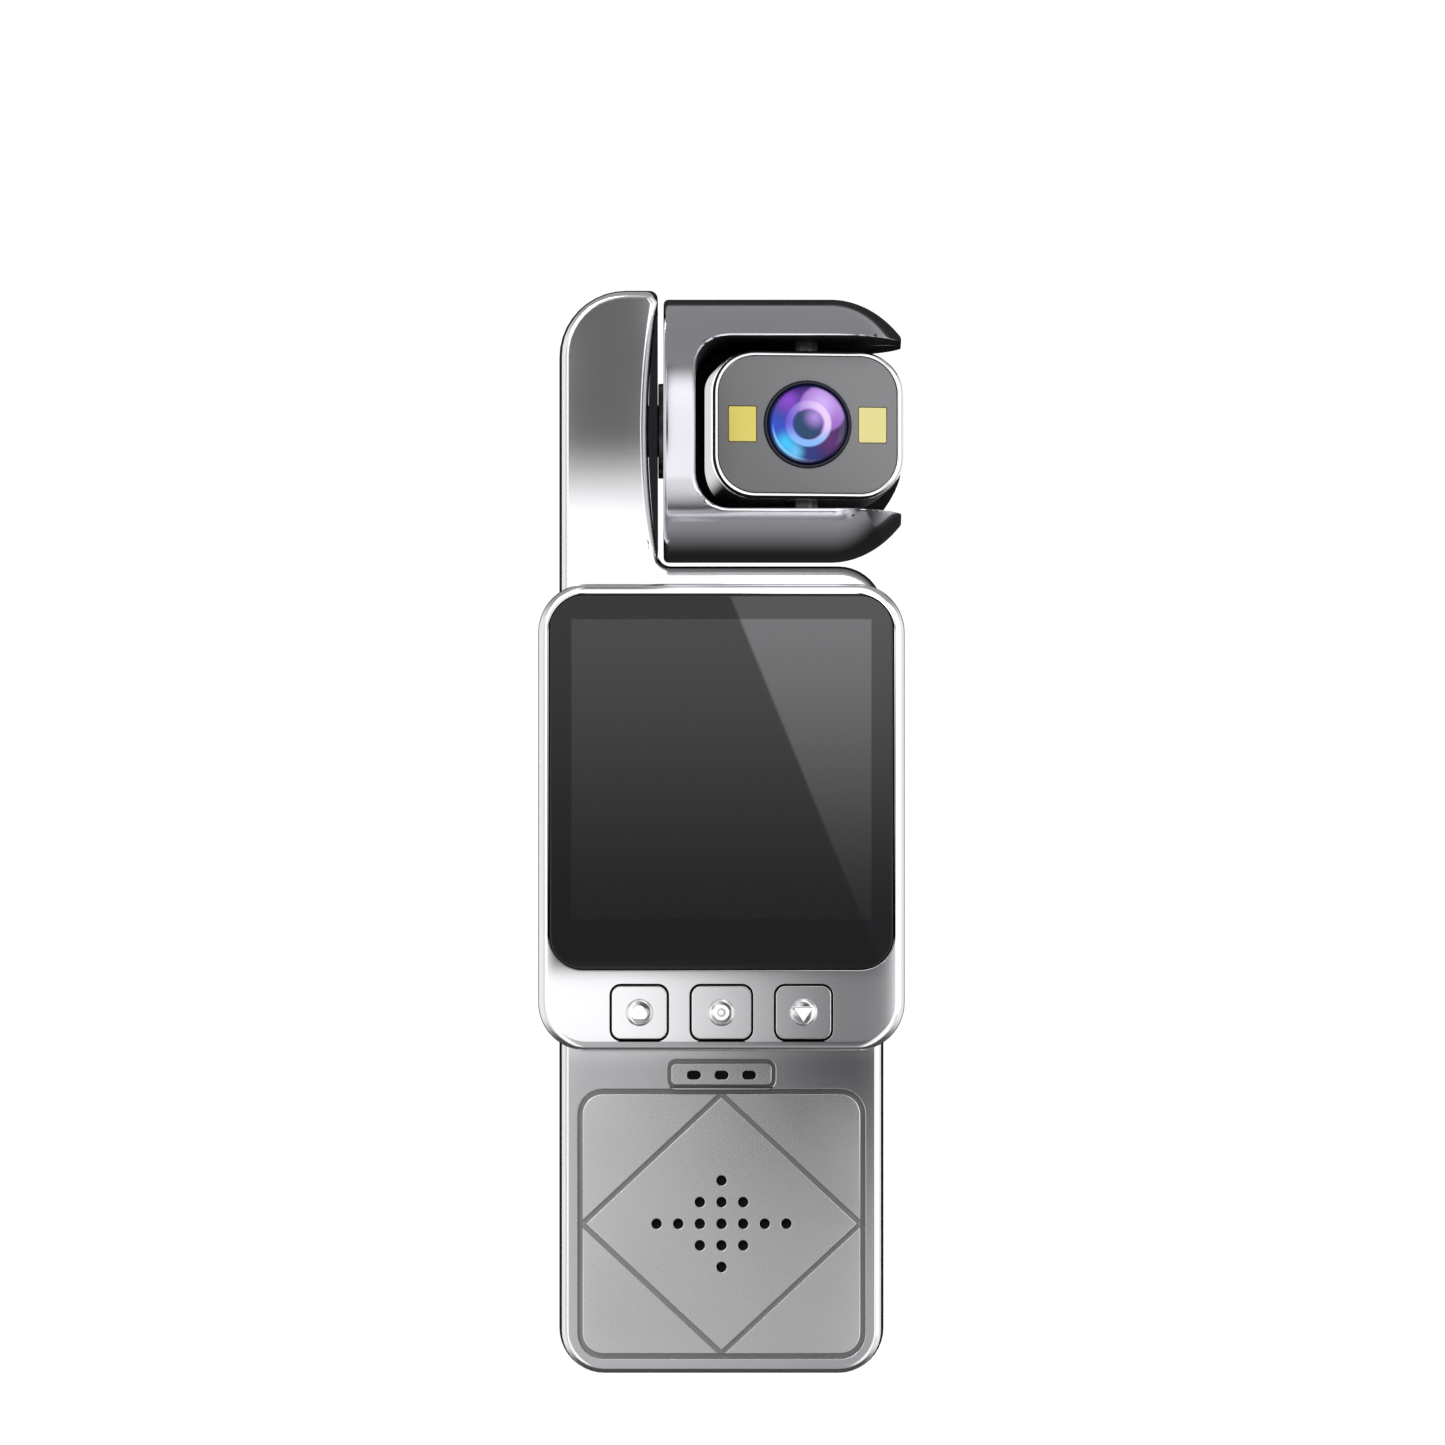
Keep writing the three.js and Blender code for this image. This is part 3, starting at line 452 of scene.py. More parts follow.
def silver_paint():
    return coated(
        "silver_paint", (0.80, 0.80, 0.815), (0.76, 0.76, 0.775), (0.15, 0.2), 0.97,
        grain=0.08, bump=0.00015, patch=14,
    )


def satin_silver():
    return coated(
        "satin_silver", (0.70, 0.70, 0.71), (0.66, 0.66, 0.67), (0.26, 0.34), 0.95,
        grain=0.1, bump=0.0004, patch=12,
    )


def gunmetal_paint():
    return coated(
        "gunmetal_paint", (0.60, 0.59, 0.625), (0.56, 0.55, 0.585), (0.12, 0.17), 1.0,
        grain=0.08, bump=0.0002, patch=12,
    )


def moulded_black():
    """Spark-textured black plastic."""
    return coated(
        "moulded_black", (0.016, 0.016, 0.018), (0.024, 0.024, 0.026), (0.42, 0.58), 0.0,
        grain=0.22, bump=0.02,
    )


def dull_black():
    """Black that throws back little light. On the walls of the yoke's slot it is painted shade; elsewhere it
    is the black of the hinge plate, of the cloth under the grille's holes and slots, and of hidden linings.
    """
    return coated(
        "dull_black", (0.004, 0.004, 0.005), (0.007, 0.007, 0.008), (0.5, 0.6), 0.0, Specular_IOR_Level=0.12,
    )


def silver_in_painted_shade():
    """Silver darkened to stand for shade: painted shade on the floors of the grooves and pockets."""
    return coated("silver_in_painted_shade", (0.34, 0.34, 0.345), (0.3, 0.3, 0.305), (0.3, 0.36), 0.9)


def gloss_black():
    return coated("gloss_black", (0.006, 0.006, 0.008), (0.01, 0.01, 0.012), (0.12, 0.2), 0.0)


def plated():
    return coated("plated", (0.93, 0.93, 0.94), (0.88, 0.88, 0.9), (0.05, 0.09), 1.0)


def machined_steel():
    return coated("machined_steel", (0.55, 0.56, 0.58), (0.46, 0.47, 0.49), (0.25, 0.4), 1.0)


def smoked_face():
    """The pod's face: satin dark grey with a slow change of tone across it."""
    nodes = Nodes("smoked_face")
    across, up = nodes.plane(POD, unit=8.8)
    tone = nodes.remap(nodes.math("ADD", across, nodes.math("MULTIPLY", up, 0.6)), -1.2, 1.2)
    nodes.set(Base_Color=nodes.mix(tone, (0.095, 0.095, 0.098), (0.15, 0.15, 0.155)))
    nodes.set(Roughness=nodes.remap(nodes.noise(0.3, 2), 0.3, 0.7, 0.36, 0.46), Metallic=0.25)
    nodes.bump(nodes.noise(0.12, 2), 0.003)
    return nodes.material


def screen_glass():
    """Cover glass over a dark display: the square that lights up is a shade paler than its border."""
    nodes = Nodes("screen_glass")
    half = 13.9
    across, up = nodes.plane(BODY, 0, centre_of("display_glass")[2] + 1.2, half)
    edge = nodes.math("MAXIMUM", nodes.math("ABSOLUTE", across), nodes.math("ABSOLUTE", up))
    active = nodes.remap(edge, 0.985, 1.005, 1, 0)
    pixels = nodes.remap(nodes.noise(0.12, 1), 0.35, 0.65)
    lit = nodes.mix(pixels, (0.0125, 0.0125, 0.0135), (0.0145, 0.0145, 0.0155))
    nodes.set(Base_Color=nodes.mix(active, (0.011, 0.011, 0.012), lit))
    nodes.set(Specular_IOR_Level=nodes.remap(active, 0, 1, 0.3, 0.62))
    nodes.set(Roughness=nodes.remap(nodes.noise(20, 3), 0.3, 0.7, 0.015, 0.04))
    return nodes.material


def pale_silver():
    """The pod's case: satin silver, with painted light: its left flank gives off a pale glow."""
    nodes = Nodes("pale_silver")
    across, _ = nodes.plane(POD, unit=1.0)
    painted_flank_glow = nodes.remap(across, -7.6, -8.7)
    patches = nodes.noise(14, 1)
    nodes.set(Base_Color=nodes.mix(patches, (0.8, 0.8, 0.81), (0.76, 0.76, 0.77)))
    nodes.set(Roughness=nodes.remap(patches, 0, 1, 0.26, 0.34), Metallic=0.9)
    # Painted highlight: the left flank glows pale, though no lamp lights it there.
    nodes.set(Emission_Color=(0.95, 0.95, 0.96), Emission_Strength=nodes.math("MULTIPLY", painted_flank_glow, 0.75))
    return nodes.material


def led_window():
    nodes = Nodes("led_window")
    grain = nodes.noise(0.16, 2)
    across, _ = nodes.plane(POD, unit=8.8)
    tone = nodes.remap(across, -0.8, 0.8)
    base = nodes.mix(tone, (0.52, 0.44, 0.095), (0.55, 0.50, 0.21))
    nodes.set(Base_Color=nodes.mix(nodes.remap(grain, 0.45, 0.8, 0, 0.4), base, (0.58, 0.52, 0.2)))
    nodes.set(Roughness=nodes.remap(grain, 0.3, 0.7, 0.3, 0.42), Specular_IOR_Level=0.3)
    return nodes.material


def lens_with_painted_reflections(name, place, radius):
    """A multicoated lens over deep blue, with painted reflections: soft lobes of colour, a pale glow at the
    upper right, the rings of the elements below paler on the right, a pale spot in the pupil and a thin pale
    crescent by the rim at the lower left.
    """
    nodes = Nodes(name)
    across, up = nodes.plane(place, unit=radius)
    flat = nodes.add("CombineXYZ")
    nodes.feed(flat.inputs[0], across)
    nodes.feed(flat.inputs[1], up)
    at = flat.outputs[0]
    r = nodes.vector("LENGTH", at)

    def lobe(x, z, size, strength=1.0):
        return nodes.remap(nodes.vector("DISTANCE", at, (x, z, 0)), size, 0, 0, strength)

    def band(inner, outer, soft=0.03):
        rise = nodes.remap(r, inner - soft, inner + soft)
        return nodes.math("MULTIPLY", rise, nodes.remap(r, outer - soft, outer + soft, 1, 0))

    # Painted reflections: coloured lobes over the deep blue, cyan at the lower left.
    colour = nodes.mix(lobe(-0.7, -0.1, 0.85), (0.006, 0.007, 0.05), (0.014, 0.05, 0.4))
    colour = nodes.mix(lobe(-0.45, 0.55, 0.5), colour, (0.16, 0.035, 0.42))
    colour = nodes.mix(lobe(-0.1, 0.72, 0.3, 0.8), colour, (0.06, 0.02, 0.2))
    colour = nodes.mix(lobe(0.5, -0.4, 0.62), colour, (0.075, 0.012, 0.12))
    colour = nodes.mix(lobe(0.05, -0.75, 0.5), colour, (0.008, 0.02, 0.16))
    # A painted highlight: a pale lavender glow at the upper right.
    glow = nodes.remap(nodes.vector("DISTANCE", at, (0.34, 0.36, 0)), 0.6, 0.5)
    painted_glow_colour = nodes.mix(lobe(0.35, 0.5, 0.6), (0.26, 0.11, 0.45), (0.46, 0.3, 0.66))
    colour = nodes.mix(glow, colour, painted_glow_colour)
    colour = nodes.mix(lobe(-0.52, -0.46, 0.4), colour, (0.03, 0.42, 0.74))
    colour = nodes.mix(lobe(-0.3, -0.66, 0.3, 0.8), colour, (0.12, 0.5, 0.85))
    # The ring of an inner element, with painted reflection: paler to the right, blue below.
    ring = nodes.mix(nodes.remap(across, -0.55, 0.4), (0.11, 0.07, 0.48), (0.66, 0.5, 0.72))
    ring = nodes.mix(nodes.remap(up, 0.05, -0.5), ring, (0.2, 0.42, 0.82))
    colour = nodes.mix(nodes.math("MULTIPLY", band(0.37, 0.53), 0.85), colour, ring)
    # A painted highlight in the pupil, towards its upper right.
    pupil = nodes.mix(lobe(0.16, 0.16, 0.36), (0.006, 0.035, 0.1), (0.3, 0.18, 0.52))
    colour = nodes.mix(nodes.remap(r, 0.345, 0.315), colour, pupil)
    # A painted reflection: a thin pale blue crescent by the rim at the lower left.
    low_left = nodes.remap(nodes.math("ADD", across, up), -0.75, -1.2)
    colour = nodes.mix(nodes.math("MULTIPLY", band(0.8, 0.84, 0.02), low_left), colour, (0.2, 0.5, 0.85))
    colour = nodes.mix(nodes.remap(r, 0.84, 0.9), colour, (0.005, 0.006, 0.03))
    nodes.set(Base_Color=colour, Roughness=nodes.remap(nodes.noise(2, 3), 0.3, 0.7, 0.03, 0.06))
    nodes.set(Specular_IOR_Level=0.28)
    return nodes.material


def foam_pad():
    return coated(
        "foam_pad", (0.03, 0.03, 0.032), (0.05, 0.05, 0.053), (0.8, 0.95), 0.0, grain=0.35, bump=0.05,
    )


def circuit_board():
    nodes = Nodes("circuit_board")
    tracks = nodes.add("TexBrick")
    mapping = nodes.add("Mapping")
    mapping.inputs["Scale"].default_value = (600, 600, 600)
    mapping.inputs["Rotation"].default_value = (math.pi / 2, 0, 0)
    nodes.feed(mapping.inputs["Vector"], nodes.position())
    nodes.feed(tracks.inputs["Vector"], mapping.outputs[0])
    nodes.set(Base_Color=nodes.mix(tracks.outputs["Fac"], (0.01, 0.12, 0.045), (0.02, 0.22, 0.08)))
    nodes.set(Roughness=nodes.remap(nodes.noise(1.5), 0.3, 0.7, 0.25, 0.4))
    return nodes.material


def chip_resin():
    return coated("chip_resin", (0.02, 0.02, 0.022), (0.035, 0.035, 0.038), (0.4, 0.6), 0.0, bump=0.01)


def foil_pouch():
    return coated(
        "foil_pouch", (0.62, 0.64, 0.67), (0.52, 0.54, 0.57), (0.25, 0.45), 0.8, grain=1.2, bump=0.06,
    )


SILVER, SATIN, GUNMETAL = silver_paint(), satin_silver(), gunmetal_paint()
BLACK, GLOSS, CHROME, STEEL = moulded_black(), gloss_black(), plated(), machined_steel()
DULL, SILVER_IN_PAINTED_SHADE = dull_black(), silver_in_painted_shade()
NAVY = coated(
    "navy_black", (0.004, 0.004, 0.014), (0.006, 0.006, 0.02), (0.2, 0.3), 0.0, Specular_IOR_Level=0.3,
)
PALE = pale_silver()
MARK = coated("white_mark", (0.86, 0.86, 0.87), (0.82, 0.82, 0.83), (0.25, 0.35), 0.0)
SMOKED, SCREEN, LED, FOAM = smoked_face(), screen_glass(), led_window(), foam_pad()
BOARD, CHIP, FOIL = circuit_board(), chip_resin(), foil_pouch()


# ---- Making pieces ----


def piece(name, bm, place, body, material, stands_for, crease=32, inside=None, lining=DULL):
    """Finishes a shape as a Blender object that rides on a CAD body and stands for CAD nodes.

    inside picks, from a face's centre and normal, the faces that take the lining material."""
    made = as_object(tidy(bm), name)
    made.data.materials.append(material)
    if inside:
        made.data.materials.append(lining)
        for face in made.data.polygons:
            face.material_index = int(inside(face.center, face.normal))
    made.data.transform(place)
    made.data.shade_smooth()
    made.data.set_sharp_from_angle(angle=math.radians(crease))
    weighted = made.modifiers.new("normals", "WEIGHTED_NORMAL")
    weighted.keep_sharp = True
    weighted.weight = 80
    mesh = evaluated(made)
    made.modifiers.clear()
    made.data = mesh
    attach(made, body)
    if stands_for:
        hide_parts(*stands_for)
    return made


# ---- The body ----


def speaker_loop(inset):
    return plate_loop("speaker_panel", SPEAKER_R, inset)


def microphone_loop(inset):
    return plate_loop("microphone_plate", 0.5, inset)


def stadium_cutter(x0, x1, y, z, half_length, r):
    """A bar with round ends along z, lying along x: the shape of a plug's mouth."""
    loop = arc(y, z + half_length, r, 0, 180) + arc(y, z - half_length, r, 180, 360)
    bm = slab(loop, 0, x1 - x0)
    bm.transform(Matrix(((0, 1, 0, x0), (1, 0, 0, 0), (0, 0, 1, 0), (0, 0, 0, 1))))
    return bm


def cabin_half():
    shape = slab(
        body_outline(STEP), 0, PARTING, 0.65, 0.12,
        pockets=[(speaker_loop(-0.45), 0.9, 0.12), (microphone_loop(-0.35), 0.9, 0.1)],
    )
    port, jack, card = (span(n) for n in ("power_port", "av_jack", "memory_card"))
    _, port_y, port_z = centre_of("power_port")
    jack_z, card_z = centre_of("av_jack")[2], centre_of("memory_card")[2]
    card_half = (card[2][1] - card[2][0]) / 2 + 0.2
    left = -HALF_WIDTH - 1

    def side_hole(r, depth, y, z, sides):
        return moved(turned([(0, left), (r, left), (r, depth), (0, depth)], "X", sides), 0, y, z)

    cutters = join(
        stadium_cutter(left, port[0][1] + 0.1, port_y, port_z, 2.9, 1.7),
        side_hole(1.9, jack[0][1], JACK_Y, jack_z, 32),
        side_hole(0.45, -11, RESET_Y, RESET_Z, 20),
        cuboid(-1, HALF_WIDTH + 1, CARD_Y - 0.6, CARD_Y + 0.6, card_z - card_half, card_z + card_half),
        drum_room(4.4, PARTING + 1),
    )
    # Faces deep in the pockets round the grilles take silver darkened by painted shade.
    return piece(
        "cabin_half_shell", carve(shape, cutters), BODY, "casing", SILVER, ["rear_casing"],
        inside=lambda at, normal: at.y > 0.7 and abs(normal.y) > 0.5, lining=SILVER_IN_PAINTED_SHADE,
    )


def drum_room(y0, y1):
    """The hollow in the body that the road camera's drum turns in."""
    return cuboid(-9.2, 9.2, y0, y1, DRUM_Z - 7.5, DRUM_Z + 7.5)


def road_half():
    opening = rounded_rect(0, DRUM_Z, 18.8, 15.2, 0.6)
    centres = (centre_of(name) for name in BODY_SCREWS)
    sinks = [(circle(x, z, 2.1), DEPTH - 1.7, 0.15) for x, _, z in centres]
    shape = slab(
        body_outline(0), DEPTH, PARTING + 0.1, 1.2, 0.02, pockets=[(opening, PARTING + 1, 0.2), *sinks],
    )
    shape = carve(shape, drum_room(PARTING - 1, PARTING + 2))
    return piece(
        "road_half_shell", shape, BODY, "casing", BLACK, ["front_casing"],
        inside=lambda at, normal: normal.y < -0.5 and at.y < PARTING + 1,
    )


def hinge_plate():
    """The black dished plate on the arm, that the yoke turns against."""
    bulge, half = SEAT_BULGE - 0.1, SEAT_HALF - 0.1
    r = (half**2 + bulge**2) / (2 * bulge)
    sweep = math.degrees(math.asin(half / r))
    right = ARM_RIGHT - 0.02
    loop = arc(right - bulge + r, AXIS_Z, r, 180 - sweep, 180 + sweep, 30)
    shape = slab(loop, 0.42, DEPTH - 1, 0.1, 0.1)
    return piece("hinge_plate", shape, BODY, "casing", DULL, ["hinge_seat"])


def display_frame():
    face = bezel[1][0] - FACE
    middle = centre_of("display_housing")[2]
    half_width, half_height = ((bezel[i][1] - bezel[i][0]) / 2 - BEZEL_R for i in (0, 2))
    keys = [(key_loop(name, 0.19), face + 1.8, 0.04) for name in KEYS]
    shape = slab(
        plate_loop("display_housing", BEZEL_R, 0, 14), face, bezel[1][1] - FACE, 0.85, 0.15,
        pockets=[(glass_loop(-0.06), face + 1.2, 0.08), *keys],
    )

    def in_pocket(at, normal):
        aside = max(abs(at.x) - half_width, 0), max(abs(at.z - middle) - half_height, 0)
        return face + 0.05 < at.y < -0.3 and math.hypot(*aside) < BEZEL_R - 0.9

    return piece(
        "display_frame", shape, BODY, "casing", SILVER, ["display_housing"], inside=in_pocket,
    )


def glass_loop(inset):
    return plate_loop("display_glass", 3.1, inset, 12)


def cover_glass():
    shape = slab(glass_loop(0), glass[1][0] - FACE, glass[1][1] - FACE, 0.14, 0.05)
    return piece("cover_glass", shape, BODY, "casing", SCREEN, ["display_glass"])


KEYS = {"menu_button": 5.1, "ok_button": 5.5, "down_button": 5.1}


def key_loop(name, grow):
    x, _, z = centre_of(name)
    return rounded_rect(x, z, KEYS[name] + 2 * grow, 4.9 + 2 * grow, 0.85 + grow, 8)


def key_sign(name, x, z, y):
    """The raised mark on a key: a rounded block, a ring with a dot, or a triangle."""
    top, foot = y - 0.16, y + 0.1
    if name == "menu_button":
        base = [*arc(x + 0.35, z - 0.2, 0.4, -90, 30, 5), *arc(x, z + 0.1, 0.55, 30, 150, 8)]
        loop = base + arc(x - 0.35, z - 0.2, 0.4, 150, 270, 5)
        return slab(loop, top, foot, 0.08)
    if name == "ok_button":
        hollow = (circle(x, z, 0.42, 20), y, 0.05)
        ring = slab(circle(x, z, 0.72, 28), top, foot, 0.07, pockets=[hollow])
        return join(ring, slab(circle(x, z, 0.2, 16), top, foot, 0.06))
    corners = [(x, z - 0.78), (x + 0.82, z + 0.5), (x - 0.82, z + 0.5)]
    loop = [p for (cx, cz), t in zip(corners, (210, 330, 90)) for p in arc(cx, cz, 0.06, t, t + 120, 4)]
    return slab(loop, top, foot, 0.07)


def key(name):
    """A keycap with a domed round pad, and the bright mark let into the pad."""
    face = bezel[1][0] - FACE
    x, _, z = centre_of(name)
    cap = slab(key_loop(name, 0), face, face + 1.3, 0.09, 0.05)
    dome = [(1.3 * math.sin(t), 0.12 - 0.62 * math.cos(t)) for t in (math.pi / 2 * k / 12 for k in range(13))]
    pad = turned([*dome, (1.3, 0.3), (0, 0.3)], "Y", 48)
    piece(f"{name}_cap", join(cap, moved(pad, x, face, z)), BODY, name, SILVER, [name])
    return piece(
        f"{name}_mark", key_sign(name, x, z, face - 0.42), BODY, name, MARK, [],
    )


def hole_centres():
    """The speaker's holes: five rows, with this many holes either side of the middle one."""
    middle = centre_of("speaker_panel")[2]
    rows = zip((-2, -1, 0, 1, 2), (0, 1, 3, 1, 0))
    return [
        (HOLE_PITCH * i, middle + HOLE_PITCH * row) for row, out in rows for i in range(-out, out + 1)
    ]


def speaker_grille():
    """The panel's base, and the five raised fields that its diamond of grooves leaves."""
    x, _, z = span("speaker_panel")
    middle = centre_of("speaker_panel")[2]
    a, b = x[1], (z[1] - z[0]) / 2
    gap, lip = 0.22, 0.08
    shrink = gap * math.hypot(a, b) / (a * b)
    across, up = a * (1 - shrink), b * (1 - shrink)
    diamond = [
        Vector((i * across, middle + k * up)) for i, k in ((1, 0), (0, 1), (-1, 0), (0, -1))
    ]
    r = SPEAKER_R
    fields = []
    for sx, sz, start in ((1, 1, 0), (-1, 1, 90), (-1, -1, 180), (1, -1, 270)):
        side = Vector((sx * a, middle + sz * b * shrink))
        end = Vector((sx * a * shrink, middle + sz * b))
        corner = arc(sx * (a - r), middle + sz * (b - r), r, start, start + 90, 8)
        loop = [side, *corner, end] if sx * sz > 0 else [end, *corner, side]
        fields.append(slab(loop, 0, 0.5, lip))
    holes = [(circle(x, z, HOLE_R, 20), 0.8, 0.07) for x, z in hole_centres()]
    fields.append(slab(diamond, 0, 0.82, lip, pockets=holes))
    base = slab(speaker_loop(0), 0.36, 0.85, 0.05, pockets=holes)
    shape = join(base, *fields)
    # The groove floors and hole walls take silver darkened by painted shade.
    return piece(
        "speaker_grille", shape, BODY, "casing", SATIN, ["speaker_panel"],
        inside=lambda at, normal: at.y > 0.3, lining=SILVER_IN_PAINTED_SHADE,
    )


def speaker_cloth():
    """A black disc at the bottom of each hole."""
    r, top, foot = HOLE_R - 0.01, 0.72, 0.79
    disc = [(0, top), (r, top), (r, foot), (0, foot)]
    shape = join(*[moved(turned(disc, "Y", 16), x, 0, z) for x, z in hole_centres()])
    return piece("speaker_cloth", shape, BODY, "casing", DULL, [])


def microphone_grille():
    """The plate with its three slots, and a black floor in each slot."""
    middle, pitch = centre_of("microphone_plate")[2] - 0.1, 2.55

    def slot_loop(i, inset):
        return rounded_rect(pitch * i, middle, 1.3 - 2 * inset, 0.8 - 2 * inset, 0.38 - inset, 6)

    slots = [(slot_loop(i, 0), 0.8, 0.06) for i in (-1, 0, 1)]
    shape = slab(microphone_loop(0), 0, 0.85, 0.1, pockets=slots)
    floors = [slab(slot_loop(i, 0.01), 0.7, 0.79) for i in (-1, 0, 1)]
    piece("microphone_cloth", join(*floors), BODY, "casing", DULL, [])
    return piece("microphone_grille", shape, BODY, "casing", SATIN, ["microphone_plate"])


def screw(name, place, at, body, head_r, head_y):
    """A pan-head screw with a cross recess. Its head's top is at head_y and faces the road."""
    x, z = at
    shank_r = head_r * 0.45
    shape = turned(
        [(0, head_y), (head_r * 0.6, head_y, 0.6), (head_r, head_y - 0.45, 0.2), (head_r, head_y - 1.0),
         (shank_r, head_y - 1.0, 0.1), (shank_r, head_y - 4.0), (0, head_y - 4.2)], "Y", 36,
    )
    bar, arm = head_r * 0.16, head_r * 0.55
    for half_x, half_z in ((arm, bar), (bar, arm)):
        shape = carve(shape, cuboid(-half_x, half_x, head_y - 0.45, head_y + 1, -half_z, half_z))
    return piece(f"{name}_detailed", moved(shape, x, 0, z), place, body, STEEL, [name])


def lens_surround():
    """The cradle's frame on the road side, and the ears that carry the drum."""
    z = centre_of("lens_cradle")[2]
    front, back = span("lens_cradle")[1][1] - FACE, DEPTH + 0.05
    drum_y = pivot("road_lens_tilt").y - FACE
    half_width, half_height = 7.3, 6.85
    window = rounded_rect(0, z, 2 * half_width, 2 * half_height, 0.8)
    frame_plate = slab(
        rounded_rect(0, z, 20.4, 19, 2.4), front, back, 0.5, pockets=[(window, back + 0.2, 0.25)],
    )
    through = cuboid(-half_width, half_width, back - 5, back + 0.6, z - half_height, z + half_height)
    frame_plate = carve(frame_plate, through)
    ears = [
        slab(rounded_rect(side * 8.2, z, 1.6, 7.2, 0.3, 4), drum_y - 3.2, DEPTH + 0.2, 0.1)
        for side in (-1, 1)
    ]
    return piece(
        "lens_surround", join(frame_plate, *ears), BODY, "casing", BLACK, ["lens_cradle"],
    )


def mounting_block():
    near, far = span("mount_plate")[1]
    shape = slab(plate_loop("mount_plate", 3), far - FACE, near - FACE, 0.6, 0.1)
    return piece("mounting_block", shape, BODY, "casing", BLACK, ["mount_plate"])


def sticky_pad():
    near, far = span("adhesive_pad")[1]
    shape = slab(plate_loop("adhesive_pad", 2), far - FACE, near - FACE, 0.12, 0.05)
    return piece("sticky_pad", shape, BODY, "casing", FOAM, ["adhesive_pad"])


# ---- The yoke ----

YOKE_R, YOKE_LEFT, SHOULDER, TIP, TIP_EDGE = 12.2, -5.36, 10.1, 16.65, 8.7
SLOT_LEFT, SLOT_HALF, SLOT_R, SLOT_BACK = -2.4, 8.0, 3.1, 7.9
YOKE_SCREW_X, YOKE_SCREW_Z, SINK_R, SINK_FLOOR = 3, 10.1, 1.25, 4.0


def soften_mouth(bm, width):
    """Rounds the edges of the slot's mouth, less and less towards the thin tips of the arms."""
    tidy(bm)
    weights = bm.edges.layers.float.new("bevel_weight_edge")
    for edge in bm.edges:
        if len(edge.link_faces) == 2 and edge.calc_face_angle(0) > SHARP:
            middle = (edge.verts[0].co + edge.verts[1].co) / 2
            if middle.y < 0 and middle.x > YOKE_LEFT + 1:
                edge[weights] = min(max((TIP - 2.2 - middle.x) / 4, 0), 1)
    return with_modifier(
        bm, "BEVEL", width=width, segments=4, limit_method="WEIGHT", use_clamp_overlap=False,
    )


def yoke_solid():
    sweep = math.acos(TIP_EDGE / YOKE_R)
    reach = (TIP - SHOULDER) / math.sin(sweep)
    dome = [
        (YOKE_R * math.cos(sweep * k / 20), SHOULDER + reach * math.sin(sweep * k / 20)) for k in range(21)
    ]
    straight = [(YOKE_R, YOKE_LEFT + (SHOULDER - YOKE_LEFT) * k / 12) for k in range(1, 12)]
    profile = [(0, YOKE_LEFT), (YOKE_R, YOKE_LEFT, 0.45), *straight, *dome[:-1], (*dome[-1], 0.3), (0, TIP)]
    barrel = turned(profile, "X", 96, 0.5)
    slot = slab(
        rounded_rect(SLOT_LEFT + FAR / 2, 0, FAR, 2 * SLOT_HALF, SLOT_R, 7), -FAR / 2, SLOT_BACK,
    )
    return soften_mouth(carve(barrel, slot), 0.36)


def in_slot(at, normal):
    """True for the walls of the slot, behind the soft edge round its mouth, which take painted shade."""
    off_wall = SLOT_HALF - abs(at.z) > -0.02 and at.x > SLOT_LEFT - 0.02
    return off_wall and at.y < SLOT_BACK + 0.02 and math.hypot(at.y, at.z) < YOKE_R - 0.3


def yoke_half(side):
    near, far = 0.05, FAR / 3
    y0, y1 = (-far, -near) if side < 0 else (near, far)
    half = carve(yoke_solid(), cuboid(-FAR, FAR, y0, y1, -FAR, FAR), "INTERSECT")
    if side > 0:
        for up in (-1, 1):
            sink = turned([(0, SINK_FLOOR), (SINK_R, SINK_FLOOR), (SINK_R, 12), (0, 12)], "Y", 28)
            half = carve(half, moved(sink, YOKE_SCREW_X, 0, up * YOKE_SCREW_Z))
    name = "cabin" if side < 0 else "road"
    # The slot's walls take the dull black lining: painted shade inside the slot.
    return piece(
        f"yoke_{name}_half", bevel(half, 0.08), YOKE, "yoke", GUNMETAL, [f"yoke_{name}_shell"],
        40, inside=in_slot,
    )


def yoke_collar():
    """The black hub that joins the yoke to the arm."""
    shape = turned(
        [(1.4, -10.3), (2.4, -10.3, 0.2), (2.4, -5.85), (4.4, -5.85, 0.1), (4.4, -4.11),
         (5.4, -4.11), (5.4, -3.56), (1.4, -3.56), (1.4, -10.3)], "X", 64,
    )
    return piece("yoke_collar", shape, YOKE, "yoke", GLOSS, ["yoke_hub"])


# ---- The pod ----

POD_HALF, POD_HEIGHT, POD_R, POD_FACE, POD_RIM, POD_CASE = 8.8, 6.85, 4.0, -4.6, 0.45, 9.05
LENS_R, LED_X = 4.0, 6.05


def pod_loop(inset):
    return rounded_rect(0, 0, 2 * (POD_HALF - inset), 2 * (POD_HEIGHT - inset), POD_R - inset, 14)


